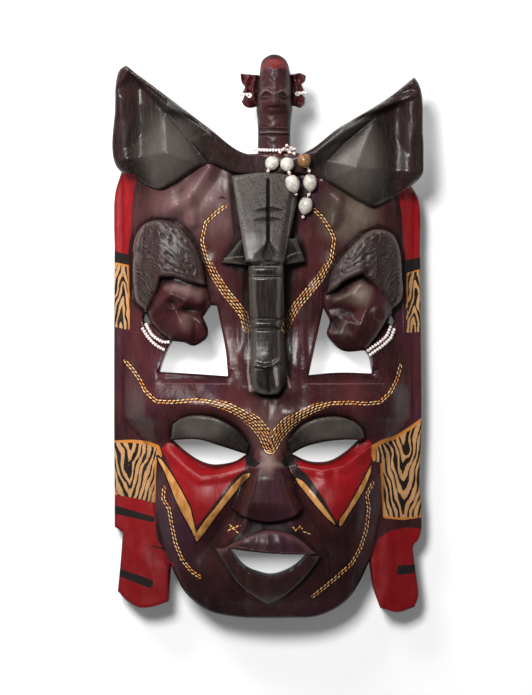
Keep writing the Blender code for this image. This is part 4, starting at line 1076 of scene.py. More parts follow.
def stripe_layout(x, y, z):
    """The phase of the zebra stripes: flames that run to each patch's middle, and slant down its side."""
    lower = y < -30
    centre = np.where(x < 0, np.where(lower, -87, -91), np.where(lower, 84.5, 91.5))
    off = np.abs(x - centre + 0.8 * noise(y, y * 0, 9, 3))
    flame = (y - 4.6 * off + 9 * (1 - np.exp(-off / 4))) / 12.5
    flame = flame + 0.4 * noise(x, y / 1.5, 8, 5) + 0.22 * noise(x, y / 3, 2.6, 8)
    wave = off / 2.5 + 0.2 * y / 2.5 + 0.5 * noise(x, y / 2, 5, 2) + 0.2 * noise(x, y / 2, 2.4, 6)
    return np.where(lower, flame, wave) + 0.11 * np.maximum(SIDE_LEVEL - SIDE_DROP - 1 - z, 0)


def patches(x, y, outlines):
    """Depth inside the nearest of the painted patches."""
    return deepest(x, y, [np.array(outline, float) for outline in outlines], 4)


def over(x, y, *outlines):
    """Depth inside the nearest of the curved outlines."""
    return deepest(x, y, [softened(outline) for outline in outlines], 4)


def stain(x, y, dark):
    """How black the stain is: 0 is maroon, 1 black and 2 polished grey. Painted highlight and shade: the
    middles of the ears' facets and of the lids are paler grey, and the ears' edges darker.
    """
    lit_middle = swell(x, y, (-62, 114), (30, 42)) + swell(x, y, (54, 108), (30, 40))
    dark = np.where(y > 80, np.where(dark > 1.9, 0.75 + 1.4 * lit_middle, dark), dark)
    lit_middle = swell(x, y, (-41, -55), (26, 13)) + swell(x, y, (38, -56), (28, 13))
    dark = np.where((y < -40) & (dark > 1.9), 1.0 + 1.4 * lit_middle, dark)
    return np.maximum(dark, 0.68 * smooth(over(x, y, HAIR_LEFT, HAIR_RIGHT) / 2))


def red_paint(x, y):
    """Depth inside the red paint. A soft red cap lies on the small head, and its ears are brushed red."""
    red = patches(x, y, [CHEEK_RED_LEFT, CHEEK_RED_RIGHT, *RED_STRIPS])
    off = np.abs(x - TOP_CENTRE_X)
    cap = 0.2 * smooth((y - 162) / 5) * smooth((176 - y) / 6) - 0.23 + 0.05 * noise(x, y, 2, 3)
    red = np.where((y > 156) & (off < 12), cap, red)
    return np.where((y > 141) & (y < 164) & (off > 11) & (off < 21), -0.1, red)


def matte_share(x, y, hair):
    """Where the polish is duller: most on the hair, the heads, the lips and above the mouth."""
    return np.maximum.reduce([
        hair,
        0.8 * smooth(over(x, y, HEAD_LEFT, HEAD_RIGHT) / 2),
        np.where(y > 114, 0.9 * (np.abs(x - TOP_CENTRE_X) < 22), 0),
        0.6 * smooth((over(x, y, UPPER_LIP, LOWER_LIP) + 2) / 2),
        0.3 * smooth((depth(x, y, softened(NOSE), 8) + 3) / 3) * (y < -74),
        0.7 * smooth(over(x, y, FOREHEAD) / 1.5),
        1.5 * swell(x, y, (0, -115), (30, 12)),
    ]) - 0.5 * smooth(over(x, y, TRUNK) / 1.5)


def lay_out_paint(made):
    """Writes where each colour goes onto the mesh."""
    mesh = made.data
    x, y, z = corners(mesh).astype(float).T
    along, across, room = line_layout(x, y, DASH_LINES)
    worn_and_glint_room, cut_and_shade_room, orange_room = (
        line_layout(x, y, lines)[2] for lines in (WORN_AND_GLINT_LINES, CUT_AND_SHADE_LINES, ORANGE_LINES)
    )
    hair = smooth(over(x, y, HAIR_LEFT, HAIR_RIGHT) / 2)
    roll = np.minimum(
        line_distance(x, y, [(-66, 39), (-47.2, 34.4), (-39, 31.6)]),
        line_distance(x, y, [(38, 28), (48.5, 36.5), (58, 41)]),
    )
    found = np.zeros(len(x), np.float32)
    mesh.attributes["dark"].data.foreach_get("value", found)
    layers = {
        "red": red_paint(x, y),
        "ochre": patches(x, y, LEAVES),
        "zebra": patches(x, y, [ZEBRA_LOWER_LEFT, ZEBRA_LOWER_RIGHT, ZEBRA_UPPER_LEFT, ZEBRA_UPPER_RIGHT]),
        "black": patches(x, y, BLACK_BARS),
        "stripe": stripe_layout(x, y, z),
        "dash_along": along,
        "dash_across": across,
        "dash_room": room,
        "worn_and_glint_room": worn_and_glint_room,
        "cut_and_shade_room": cut_and_shade_room,
        "orange_room": orange_room,
        "hair": hair * smooth((roll - 2) / 2),
        "pale": sum(share * swell(x, y, centre, radii) for centre, radii, share in PALE_WEAR_AND_SHEEN),
        "matte": matte_share(x, y, hair),
        "strand": strand_phase(x, y),
        "pitted": over(x, y, FOREHEAD) / 2 * smooth((y - 62) / 6),
        "dark": stain(x, y, found),
    }
    for name, values in layers.items():
        set_value(mesh, name, values)


def blurred(grid, weight, radius):
    """A grid smoothed over the radius, counting only the cells that have weight."""
    reach = np.arange(-3 * radius, 3 * radius + 1)
    kernel = np.exp(-(reach / radius) ** 2 / 2)
    total, share = grid * weight, weight.astype(float)
    for axis in (0, 1):
        total = np.apply_along_axis(np.convolve, axis, total, kernel, "same")
        share = np.apply_along_axis(np.convolve, axis, share, kernel, "same")
    return total / np.maximum(share, 1e-6)


def lay_out_hollows(made, level_of, outlines, holes):
    """Writes how much each point of the front stands above or below what is round it; the material paints
    shade where it lies below.
    """
    x, y, z = corners(made.data).astype(float).T
    columns = np.arange(-98, 99, 1.0)
    rows = np.arange(-177, 178, 1.0)
    gx, gy = (part.ravel() for part in np.meshgrid(columns, rows))
    covered = deepest(gx, gy, outlines, 2) > 0
    if holes:
        covered &= deepest(gx, gy, holes, 2) < 0
    grid = np.where(covered, level_of(gx, gy)[0], 0).reshape(len(rows), len(columns))
    weight = covered.reshape(grid.shape)
    around = blurred(grid, weight, 3)
    u = np.clip((x - columns[0]), 0, len(columns) - 1.001)
    v = np.clip((y - rows[0]), 0, len(rows) - 1.001)
    i, j = u.astype(int), v.astype(int)
    s, t = u - i, v - j
    nearby = (
        around[j, i] * (1 - s) * (1 - t) + around[j, i + 1] * s * (1 - t)
        + around[j + 1, i] * (1 - s) * t + around[j + 1, i + 1] * s * t
    )
    set_value(made.data, "proud", np.clip(z - nearby, -4, 4))


# Materials

def srgb(red, green, blue):
    """A colour in screen values from 0 to 255, as the shader takes it."""
    scaled = [part / 255 for part in (red, green, blue)]
    return tuple(p / 12.92 if p < 0.04045 else ((p + 0.055) / 1.055) ** 2.4 for p in scaled) + (1.0,)


class Finish:
    """A material's nodes: each call adds one and gives back its output."""

    def __init__(self, name):
        self.material = bpy.data.materials.new(name)
        self.material.use_nodes = True
        self.tree = self.material.node_tree
        self.shader = self.tree.nodes["Principled BSDF"]
        self.place = self.add("ShaderNodeTexCoord").outputs["Object"]

    def add(self, kind, **settings):
        node = self.tree.nodes.new(kind)
        for name, value in settings.items():
            setattr(node, name, value)
        return node

    def feed(self, socket, value):
        if isinstance(value, bpy.types.NodeSocket):
            self.tree.links.new(value, socket)
        else:
            socket.default_value = value

    def math(self, operation, *values):
        node = self.add("ShaderNodeMath", operation=operation)
        for socket, value in zip(node.inputs, values):
            self.feed(socket, value)
        return node.outputs[0]

    def times(self, first, second):
        return self.math("MULTIPLY", first, second)

    def plus(self, first, second):
        return self.math("ADD", first, second)

    def chance(self, first, second):
        """A number from 0 to 1 that is different for each pair of whole numbers."""
        pair = self.add("ShaderNodeCombineXYZ")
        self.feed(pair.inputs[0], first)
        self.feed(pair.inputs[1], second)
        node = self.add("ShaderNodeTexWhiteNoise", noise_dimensions="3D")
        self.feed(node.inputs["Vector"], pair.outputs[0])
        return node.outputs["Value"]

    def attribute(self, name):
        return self.add("ShaderNodeAttribute", attribute_name=name).outputs["Fac"]

    def stretched(self, scale):
        """The place on the object, scaled along each axis."""
        node = self.add("ShaderNodeMapping")
        self.feed(node.inputs["Vector"], self.place)
        node.inputs["Scale"].default_value = scale
        return node.outputs[0]

    def noise(self, scale, detail=3.0, roughness=0.55, distortion=0.0):
        """Unevenness from 0 to 1, with this many features a metre along each axis."""
        node = self.add("ShaderNodeTexNoise")
        self.feed(node.inputs["Vector"], self.stretched(scale))
        node.inputs["Scale"].default_value = 1
        node.inputs["Detail"].default_value = detail
        node.inputs["Roughness"].default_value = roughness
        node.inputs["Distortion"].default_value = distortion
        return node.outputs[0]

    def cells(self, scale):
        """Distance to the nearest of many scattered points."""
        node = self.add("ShaderNodeTexVoronoi")
        self.feed(node.inputs["Vector"], self.stretched(scale))
        node.inputs["Scale"].default_value = 1
        node.inputs["Randomness"].default_value = 1
        return node.outputs["Distance"]

    def ramp(self, value, low, high, start=0.0, end=1.0):
        """A soft step from start to end as the value goes from low to high."""
        node = self.add("ShaderNodeMapRange", interpolation_type="SMOOTHSTEP")
        for name, number in (
            ("Value", value), ("From Min", low), ("From Max", high), ("To Min", start), ("To Max", end),
        ):
            self.feed(node.inputs[name], number)
        return node.outputs[0]

    def mix(self, factor, first, second):
        """The first colour where the factor is 0, the second where it is 1."""
        node = self.add("ShaderNodeMix", data_type="RGBA")
        self.feed(node.inputs[0], factor)
        self.feed(node.inputs[6], first)
        self.feed(node.inputs[7], second)
        return node.outputs[2]

    def bump(self, height, strength, distance, below=None):
        """Fine relief from a height, on top of any relief below it."""
        node = self.add("ShaderNodeBump")
        self.feed(node.inputs["Height"], height)
        node.inputs["Strength"].default_value = strength
        node.inputs["Distance"].default_value = distance
        if below is not None:
            self.feed(node.inputs["Normal"], below)
        return node.outputs[0]


def stain_colour(finish, dark, blotch, grain, across):
    """The maroon stain with its pale areas, partly rubbed and partly painted sheen and highlight, and the
    black and grey of the elephant.
    """
    maroon = finish.mix(finish.ramp(blotch, 0.25, 0.75), srgb(32, 13, 15), srgb(76, 35, 37))
    maroon = finish.mix(finish.ramp(grain, 0.35, 0.75, 0, 0.25), maroon, srgb(92, 56, 58))
    purple = finish.ramp(finish.noise((26, 14, 26), 4), 0.5, 0.72, 0, 0.5)
    maroon = finish.mix(purple, maroon, srgb(66, 36, 56))
    # Pale areas: rubbed stain, and painted sheen and highlight on the upper board and the nose root.
    pale = finish.times(finish.attribute("pale"), finish.ramp(blotch, 0.3, 0.6, 0.35, 0.75))
    polished = finish.mix(finish.ramp(across, -0.02, 0.03), srgb(130, 102, 100), srgb(134, 122, 106))
    grey = finish.mix(blotch, srgb(22, 18, 16), srgb(42, 36, 33))
    pale_grey = finish.mix(blotch, srgb(54, 48, 45), srgb(98, 90, 85))
    grey = finish.mix(finish.math("SUBTRACT", dark, 1.0), grey, pale_grey)
    grey = finish.mix(finish.ramp(grain, 0.4, 0.75, 0, 0.2), grey, srgb(98, 92, 86))
    return finish.mix(dark, finish.mix(pale, maroon, polished), grey)


def zebra_colour(finish, ragged, paint_noise):
    """Wavering black stripes on cream, inside orange lines."""
    stripe = finish.math("SINE", finish.times(finish.attribute("stripe"), 2 * math.pi))
    stripe = finish.plus(stripe, finish.times(ragged, 0.8))
    swelling = finish.noise((260, 80, 260), 2)
    stripe = finish.plus(stripe, finish.ramp(swelling, 0.3, 0.7, -0.85, 0.75))
    cream = finish.mix(paint_noise, srgb(178, 128, 82), srgb(206, 160, 112))
    striped = finish.mix(finish.ramp(stripe, -0.08, 0.18), cream, srgb(30, 24, 22))
    edge = finish.ramp(finish.attribute("orange_room"), -0.15, 0.15)
    return finish.mix(edge, striped, srgb(196, 124, 56))


def gold_dashes(finish, facing, ragged):
    """Rows of dashes: 1 inside each dash, 1 inside the rows, and the gold of each dash."""
    row = finish.math("DIVIDE", finish.attribute("dash_across"), DASH_ROW)
    row_number = finish.math("FLOOR", row)
    row_place = finish.math("SUBTRACT", finish.math("FRACT", row), 0.5)
    cell = finish.math("DIVIDE", finish.attribute("dash_along"), DASH_LENGTH)
    cell = finish.plus(finish.plus(cell, finish.times(row_number, 0.43)), finish.times(row_place, 0.7))
    chance = finish.chance(row_number, finish.math("FLOOR", cell))
    cell_place = finish.math("SUBTRACT", finish.math("FRACT", cell), finish.ramp(chance, 0, 1, 0.42, 0.58))
    cell_share = finish.math("DIVIDE", finish.math("ABSOLUTE", cell_place), 0.36)
    half = finish.ramp(chance, 0, 1, 0.3, 0.22)
    row_share = finish.math("DIVIDE", finish.math("ABSOLUTE", row_place), half)
    off = finish.plus(finish.math("POWER", cell_share, 2.0), finish.math("POWER", row_share, 2.0))
    off = finish.plus(off, finish.times(ragged, 2.5))
    inside_rows = finish.times(facing, finish.ramp(finish.attribute("dash_room"), -0.2, 0.1))
    dash = finish.times(finish.ramp(off, 1.1, 0.75), inside_rows)
    return dash, inside_rows, finish.mix(chance, srgb(206, 130, 56), srgb(250, 214, 156))


def hair_strands(finish, facing):
    """The grooves between strands of hair, broken here and there, painted dark as shade, and the lighter
    crests.
    """
    wave = finish.math("ABSOLUTE", finish.math("SINE", finish.times(finish.attribute("strand"), math.pi)))
    broken = finish.ramp(finish.noise((420, 420, 420), 3), 0.42, 0.58)
    hair = finish.times(facing, finish.attribute("hair"))
    grooves = finish.times(finish.times(finish.ramp(wave, 0.6, 0.05), hair), broken)
    return grooves, finish.times(finish.ramp(wave, 0.75, 1.0, 0, 0.16), hair)


def wood_roughness(finish, painted, cut_or_black, along):
    """Polished wood, duller on paint, in cuts, in pits and on the lower face."""
    rough = finish.ramp(finish.noise((90, 60, 90), 3), 0.3, 0.7, 0.2, 0.32)
    rough = finish.plus(rough, finish.times(painted, 0.12))
    duller = finish.ramp(along, -0.02, -0.1, 0, 0.05)
    duller = finish.plus(duller, finish.times(finish.attribute("matte"), 0.14))
    duller = finish.plus(duller, finish.times(cut_or_black, 0.4))
    duller = finish.plus(duller, finish.ramp(finish.attribute("pitted"), 0, 0.6, 0, 0.1))
    return finish.plus(rough, duller)


def stained_wood(name):
    """Dark stained and polished wood with all of the paint on it, painted shade in hollows, grooves and on
    the lower face, painted highlights, and bare dark wood behind.
    """
    finish = Finish(name)
    shader = finish.shader
    front = finish.attribute("front")
    facing = finish.ramp(front, 0.3, 0.35)
    dark = finish.attribute("dark")
    proud = finish.attribute("proud")
    blotch = finish.noise((34, 22, 34), 3)
    grain = finish.noise((900, 60, 900), 4, 0.6, 0.4)
    fine = finish.noise((1500, 1500, 1500), 3)
    paint_noise = finish.noise((220, 120, 220), 3)
    ragged = finish.times(finish.math("SUBTRACT", fine, 0.5), 0.5)
    soft = finish.times(ragged, 1.6)
    split = finish.add("ShaderNodeSeparateXYZ")
    finish.feed(split.inputs[0], finish.place)
    across, along = split.outputs[0], split.outputs[1]

    def covered(layer):
        """1 inside a painted area, with a slightly ragged brushed edge."""
        return finish.times(facing, finish.ramp(finish.plus(finish.attribute(layer), ragged), -0.15, 0.15))

    def lined(layer, low, high, share):
        """The share inside thin lines on the front, with soft ragged edges."""
        room = finish.plus(finish.attribute(layer), soft)
        return finish.times(finish.ramp(room, low, high), finish.times(facing, share))

    red, zebra, black = covered("red"), covered("zebra"), covered("black")
    colour = stain_colour(finish, dark, blotch, grain, across)
    colour = finish.mix(red, colour, finish.mix(paint_noise, srgb(116, 12, 16), srgb(160, 20, 27)))
    colour = finish.mix(zebra, colour, zebra_colour(finish, ragged, paint_noise))
    leaf = finish.plus(finish.attribute("ochre"), ragged)
    colour = finish.mix(finish.ramp(leaf, -1.1, -0.8), colour, srgb(30, 17, 20))
    ochre = finish.mix(finish.ramp(paint_noise, 0.3, 0.7), srgb(176, 116, 54), srgb(218, 160, 96))
    colour = finish.mix(finish.ramp(leaf, -0.15, 0.15), colour, ochre)
    colour = finish.mix(black, colour, srgb(30, 23, 22))
    dash, inside_rows, gold = gold_dashes(finish, facing, ragged)
    between_dashes = finish.mix(finish.times(inside_rows, 0.6), colour, srgb(46, 18, 14))
    colour = finish.mix(dash, between_dashes, gold)

    bare = finish.mix(grain, srgb(58, 36, 30), srgb(96, 64, 50))
    colour = finish.mix(finish.ramp(front, 0.35, 0.3), colour, bare)
    # Painted shade: hollows that lie below what is round them darken towards near-black.
    colour = finish.mix(finish.ramp(proud, -0.15, -2.2, 0, 0.78), colour, srgb(14, 8, 9))
    rubbed = finish.mix(dark, srgb(140, 96, 96), srgb(132, 128, 120))
    colour = finish.mix(finish.ramp(proud, 1.2, 3.2, 0, 0.2), colour, rubbed)
    # Painted shade in the grooves between hair strands, and lighter crests.
    grooves, crests = hair_strands(finish, facing)
    colour = finish.mix(finish.times(grooves, 0.85), colour, srgb(16, 11, 10))
    colour = finish.mix(crests, colour, srgb(128, 116, 108))
    on_forehead = finish.times(facing, finish.ramp(finish.attribute("pitted"), 0, 0.6))
    pit = finish.times(finish.ramp(finish.cells((760, 560, 760)), 0.45, 0.2), on_forehead)
    colour = finish.mix(finish.times(pit, 0.8), colour, srgb(16, 14, 14))
    # Dark knife cuts, with painted shade along the furrows and under the nose.
    cut = lined("cut_and_shade_room", -0.5, 0.4, 0.85)
    colour = finish.mix(cut, colour, srgb(12, 8, 9))
    # Thin pale lines: worn edges, and painted highlight along ridges and the trunk's rings.
    worn_and_glint = lined("worn_and_glint_room", -0.25, 0.35, 0.42)
    colour = finish.mix(worn_and_glint, colour, finish.mix(dark, srgb(176, 138, 134), srgb(164, 160, 152)))
    # Painted shade: the lower face is darkened towards the bottom, as if less light fell there; the gold
    # dashes keep more of their colour.
    shade = finish.ramp(along, -0.16, -0.03, 0.42, 0)
    off_dashes = finish.math("SUBTRACT", 1.0, finish.times(dash, 0.7))
    colour = finish.mix(finish.times(shade, off_dashes), colour, srgb(14, 9, 9))
    finish.feed(shader.inputs["Base Color"], colour)

    painted = finish.math("MAXIMUM", finish.math("MAXIMUM", red, zebra), black)
    cut_or_black = finish.math("MAXIMUM", cut, black)
    finish.feed(shader.inputs["Roughness"], wood_roughness(finish, painted, cut_or_black, along))
    shader.inputs["Specular IOR Level"].default_value = 0.17
    shader.inputs["Coat Weight"].default_value = 0.04
    shader.inputs["Coat Roughness"].default_value = 0.2

    skin = finish.bump(finish.noise((170, 80, 170), 2), 0.35, 0.0012)
    skin = finish.bump(grain, 0.25, 0.0004, skin)
    skin = finish.bump(fine, 0.12, 0.0002, skin)
    skin = finish.bump(grooves, -1.0, 0.0007, skin)
    skin = finish.bump(pit, -0.8, 0.0006, skin)
    skin = finish.bump(cut, -0.8, 0.0006, skin)
    finish.feed(shader.inputs["Normal"], finish.bump(dash, -0.5, 0.0003, skin))
    return finish.material


def bead_glass(name, base, second):
    """Opaque glass seed beads whose colour varies a little from bead to bead."""
    finish = Finish(name)
    colour = finish.mix(finish.ramp(finish.noise((420, 420, 420), 1), 0.4, 0.6), base, second)
    specks = finish.ramp(finish.noise((2600, 2600, 2600), 2), 0.55, 0.8, 0, 0.35)
    finish.feed(finish.shader.inputs["Base Color"], finish.mix(specks, colour, srgb(180, 150, 142)))
    rough = finish.ramp(finish.noise((900, 900, 900), 2), 0.3, 0.7, 0.16, 0.34)
    finish.feed(finish.shader.inputs["Roughness"], rough)
    skin = finish.bump(finish.noise((1800, 1800, 1800), 2), 0.15, 0.0002)
    finish.feed(finish.shader.inputs["Normal"], skin)
    return finish.material


def seed_shell(name, pale, shade, streak):
    """A glossy dried seed with faint streaks along it."""
    finish = Finish(name)
    mottled = finish.noise((260, 260, 260), 3, 0.6)
    colour = finish.mix(mottled, shade, pale)
    colour = finish.mix(finish.ramp(finish.noise((1300, 300, 1300), 3), 0.52, 0.75, 0, 0.5), colour, streak)
    veins = finish.cells((520, 520, 520))
    colour = finish.mix(finish.ramp(veins, 0.5, 0.72, 0, 0.4), colour, streak)
    finish.feed(finish.shader.inputs["Base Color"], colour)
    finish.feed(finish.shader.inputs["Roughness"], finish.ramp(mottled, 0.3, 0.7, 0.2, 0.38))
    finish.feed(finish.shader.inputs["Normal"], finish.bump(finish.noise((700, 350, 700), 3), 0.25, 0.0004))
    return finish.material


# Beads and seeds

def surface_of(*pieces):
    """A tree of the pieces' faces, to rest small things on them."""
    verts, faces = [], []
    for piece in pieces:
        first = len(verts)
        verts += [vert.co.copy() for vert in piece.data.vertices]
        faces += [[first + index for index in face.vertices] for face in piece.data.polygons]
    return BVHTree.FromPolygons(verts, faces)


def rest_height(tree, place, radius):
    """How high a ball's centre lies when it touches the carving from above, in metres."""
    high = 0
    for turn in range(8):
        for share in (0, 0.5, 1):
            x = (place[0] + radius * share * math.cos(turn * math.pi / 4)) * MM
            y = (place[1] + radius * share * math.sin(turn * math.pi / 4)) * MM
            hit = tree.ray_cast(Vector((x, y, RAY_START)), Vector((0, 0, -1)))[0]
            if hit:
                high = max(high, hit.z + radius * MM * math.sqrt(max(1 - share ** 2, 0)))
    return high


def resting(tree, place, radius):
    """The centre of a ball that lies on the carving."""
    return Vector((place[0] * MM, place[1] * MM, rest_height(tree, place, radius)))


def evenly(points, spacing):
    """Points at equal steps along a line of points, close to the spacing asked, in metres."""
    lengths = [(b - a).length for a, b in zip(points, points[1:])]
    count = max(round(sum(lengths) / spacing), 1)
    made = []
    for index in range(count + 1):
        left = sum(lengths) * index / count
        leg = 0
        while leg < len(lengths) - 1 and left > lengths[leg]:
            left -= lengths[leg]
            leg += 1
        made.append(points[leg].lerp(points[leg + 1], left / lengths[leg]))
    return made


def turned(bm, profile, centre, way, sides):
    """Adds a turned form: its profile as (place along the axis, radius) pairs, closed on itself."""
    frame_of = way.to_track_quat("Z", "Y")
    rings = []
    for along, radius in profile:
        ring = []
        for index in range(sides):
            turn = 2 * math.pi * index / sides
            spot = Vector((radius * math.cos(turn), radius * math.sin(turn), along)) * MM
            ring.append(bm.verts.new(centre + frame_of @ spot))
        rings.append(ring)
    for ring, following in zip(rings, rings[1:] + rings[:1]):
        for index in range(sides):
            after = (index + 1) % sides
            bm.faces.new((ring[index], ring[after], following[after], following[index]))


def bead_profile(diameter, length):
    """A drilled seed bead with rounded shoulders."""
    outer, bore, half = diameter / 2, 0.36, length / 2
    return [
        (-half, bore), (-half * 0.98, outer * 0.72), (-half * 0.72, outer * 0.94), (0, outer),
        (half * 0.72, outer * 0.94), (half * 0.98, outer * 0.72), (half, bore), (0, bore * 0.9),
    ]


def heading(points, index):
    """Which way a line of points runs at one of them."""
    return (points[min(index + 1, len(points) - 1)] - points[max(index - 1, 0)]).normalized()


def add_bead(bm, centre, way, number):
    """One bead, a little different from the next in size and tilt."""
    size = BEAD * (0.95 + 0.1 * hashed(number, 1, 4))
    length = BEAD * (0.66 + 0.12 * hashed(number, 2, 4))
    lean = Vector([hashed(number, axis, 9) - 0.5 for axis in (3, 4, 5)]) * 0.16
    turned(bm, bead_profile(size, length), centre, (way + lean).normalized(), BEAD_SIDES)


def add_thread(bm, points):
    """A round thread through the points."""
    half = THREAD / 2 * MM
    rings = []
    for index, point in enumerate(points):
        frame_of = heading(points, index).to_track_quat("Z", "Y")
        rings.append([
            bm.verts.new(point + frame_of @ Vector((half * math.cos(t), half * math.sin(t), 0)))
            for t in (math.pi * k / (THREAD_SIDES / 2) for k in range(THREAD_SIDES))
        ])
    for ring, following in zip(rings, rings[1:]):
        for k in range(THREAD_SIDES):
            after = (k + 1) % THREAD_SIDES
            bm.faces.new((ring[k], ring[after], following[after], following[k]))
    bm.faces.new(rings[0][::-1])
    bm.faces.new(rings[-1])


def finished(name, bm, material, node):
    """The mesh as a piece that stands for its CAD node."""
    bmesh.ops.recalc_face_normals(bm, faces=bm.faces)
    mesh = bpy.data.meshes.new(name)
    bm.to_mesh(mesh)
    bm.free()
    mesh.shade_smooth()
    mesh.materials.append(material)
    made = bpy.data.objects.new(name, mesh)
    bpy.context.scene.collection.objects.link(made)
    return placed(made, node)


def placed(made, node):
    """Fixes a piece to the mask, in place of a CAD node."""
    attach(made, "root")
    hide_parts(node)
    return made


def strand(name, node, points, material, closed=False):
    """Beads side by side on a thread."""
    spots = evenly(points, BEAD * 0.9 * MM)
    if closed:
        spots = spots[:-1]
    bm = bmesh.new()
    for number, spot in enumerate(spots):
        around = (spots[(number + 1) % len(spots)] - spots[number - 1]).normalized()
        add_bead(bm, spot, around if closed else heading(spots, number), number)
    add_thread(bm, spots + spots[:1] if closed else spots)
    return finished(name, bm, material, node)


def seed_profile(length):
    """A drop-shaped seed, widest below its middle, with a drilled bore."""
    shape = [(-0.5, 0.09), (-0.485, 0.2), (-0.43, 0.33), (-0.3, 0.44), (-0.1, 0.5), (0.08, 0.49),
             (0.24, 0.42), (0.36, 0.31), (0.44, 0.2), (0.49, 0.12), (0.5, 0.08)]
    return [(a * length, r * SEED_DIAMETER) for a, r in shape]


def seed(number, centre, way, length, material, slot):
    """One seed, slightly dented, on its thread."""
    bm = bmesh.new()
    turned(bm, seed_profile(length), centre, way, SEED_SIDES)
    for vert in bm.verts:
        offset = vert.co - centre
        u, v = np.array([offset.x / MM + number * 9]), np.array([offset.y / MM])
        dent = 0.035 * noise(u, v, 3.0, number)[0]
        vert.co = centre + offset * (1 + dent)
    return finished(f"threaded_seed_{number}", bm, material, f"seed_{number}")


# The pieces

def fine_on_face(x, y):
    """Where the face's net is finer: the heads, the trunk, the eyes and the mouth."""
    zones = [
        ((-60, 34), (28, 44)), ((60, 30), (28, 44)), ((0, 40), (32, 84)), ((-36, -66), (30, 22)),
        ((36, -66), (30, 22)), ((0, -100), (24, 24)), ((0, -140), (40, 30)),
    ]
    found = np.zeros(len(x), bool)
    for centre, radii in zones:
        found |= dome(x, y, centre, radii) > 0
    return found


def everywhere(x, y):
    """A net that is fine all over."""
    return np.ones(len(x), bool)


wood = stained_wood("stained_wood")
white = bead_glass("white_beads", srgb(248, 240, 236), srgb(238, 218, 212))
pink = bead_glass("pink_beads", srgb(236, 216, 208), srgb(222, 186, 176))


def carved(name, outlines, holes, steps, level_of, under, is_fine):
    """A piece of the carved wood with its stain and paint."""
    made = shell(name, outlines, holes, steps, level_of, under, is_fine)
    lay_out_paint(made)
    lay_out_hollows(made, level_of, outlines, holes)
    made.data.materials.append(wood)
    return placed(made, "mask_body")


face_steps, ear_outlines, top_outlines = (
    [form.outline for form in forms] for forms in (FACE_FORMS, EAR_FORMS, TOP_FORMS)
)
piercings = [
    np.array([(cx + PIERCING / 2 * math.cos(t), cy + PIERCING / 2 * math.sin(t))
              for t in np.arange(16) * math.pi / 8])
    for cx, cy in (RING_LEFT, RING_RIGHT)
]
face = carved("carved_face", [BOARD] + face_steps, HOLES, face_steps, face_level, panel_back, fine_on_face)
ears = carved("elephant_ears", ear_outlines, [], [], forms_level(EAR_FORMS), ears_under, everywhere)
figure = carved(
    "long_necked_head", top_outlines, piercings, top_outlines, forms_level(TOP_FORMS), top_under, everywhere,
)

carving = surface_of(face, ears, figure)

for side, routes in (("left", STRANDS_LEFT), ("right", STRANDS_RIGHT)):
    for number, route in enumerate(routes, 1):
        flat = evenly([Vector((x * MM, y * MM, 0)) for x, y in route], BEAD * MM)
        for point in flat:
            point.z = rest_height(carving, (point.x / MM, point.y / MM), BEAD / 2)
        strand(f"{side}_necklace_{number}", f"{side}_head_bead_strand_{number}", flat, white)

reach_x = NECK_HALF_WIDTH + BEAD / 2 + 0.4
reach_z = NECK_DEPTH / 2 + BEAD / 2 + 0.4
neck_points = [
    Vector((
        TOP_CENTRE_X + reach_x * math.cos(t), STRING_Y - STRING_TILT * math.sin(t),
        TOP_CENTRE_Z + reach_z * math.sin(t),
    )) * MM
    for t in (2 * math.pi * index / 48 for index in range(49))
]
strand("neck_beads", "neck_bead_string", neck_points, white, closed=True)

over_string = (TOP_CENTRE_Z + reach_z + BEAD) * MM
knot = []
for place in KNOT:
    spot = resting(carving, place, BEAD / 2)
    spot.z = max(spot.z, over_string)
    knot.append(spot)
bm = bmesh.new()
for number, spot in enumerate(knot):
    add_bead(bm, spot, heading(knot, number), number + 40)
add_thread(bm, knot)
finished("knot_of_beads", bm, pink, "knot_beads")

seed_finishes = {
    "pale": seed_shell("pale_seeds", srgb(230, 224, 214), srgb(182, 174, 162), srgb(116, 108, 96)),
    "brown": seed_shell("brown_seed", srgb(158, 116, 72), srgb(112, 76, 46), srgb(74, 48, 30)),
}
seed_number = 1
for number, (first, chain, tail) in enumerate(PENDANTS, 1):
    start = Vector((first[0] * MM, first[1] * MM, knot[0].z))
    centres = [resting(carving, link[0], SEED_DIAMETER / 2) for link in chain]
    end = resting(carving, tail, BEAD / 2)
    stops = [start, *centres, end]
    bm = bmesh.new()
    threaded = [start]
    for index, (_, length, finish) in enumerate(chain, 1):
        way = (stops[index + 1] - stops[index - 1]).normalized()
        entry = stops[index] - way * (length / 2 + 0.5) * MM
        leave = stops[index] + way * (length / 2 + 0.5) * MM
        if index > 1 and (entry - threaded[-1]).length > BEAD * MM:
            add_bead(bm, (threaded[-1] + entry) / 2, (entry - threaded[-1]).normalized(), seed_number + 60)
        threaded += [entry, leave]
        seed(seed_number, stops[index], way, length, seed_finishes[finish], finish + "_seed")
        seed_number += 1
    way = (end - threaded[-1]).normalized()
    tip = threaded[-1] + way * BEAD * 0.55 * MM
    tip.z = max(tip.z, rest_height(carving, (tip.x / MM, tip.y / MM), BEAD / 2))
    add_bead(bm, tip, way, seed_number + 70)
    last = tip + way * BEAD * 0.65 * MM
    add_thread(bm, threaded + [tip, last])
    finished(f"seed_thread_{number}", bm, pink, f"pendant_thread_{number}")

for side, place, sign in (("left", RING_LEFT, -1), ("right", RING_RIGHT, 1)):
    thick = SMALL_EAR_THICKNESS / 2 + BEAD / 2 + 0.6
    centre = Vector((place[0] + sign * RING_REACH, place[1], TOP_CENTRE_Z))
    points = [
        (centre + Vector((RING_REACH * math.cos(t), 0, thick * math.sin(t)))) * MM
        for t in (2 * math.pi * index / 20 for index in range(21))
    ]
    bm = bmesh.new()
    for index in (3, 5, 7):
        add_bead(bm, points[index], heading(points, index), index + 90)
    add_thread(bm, points)
    finished(f"{side}_ear_ring", bm, white, f"{side}_ear_bead_loop")


# Stage, lights and camera

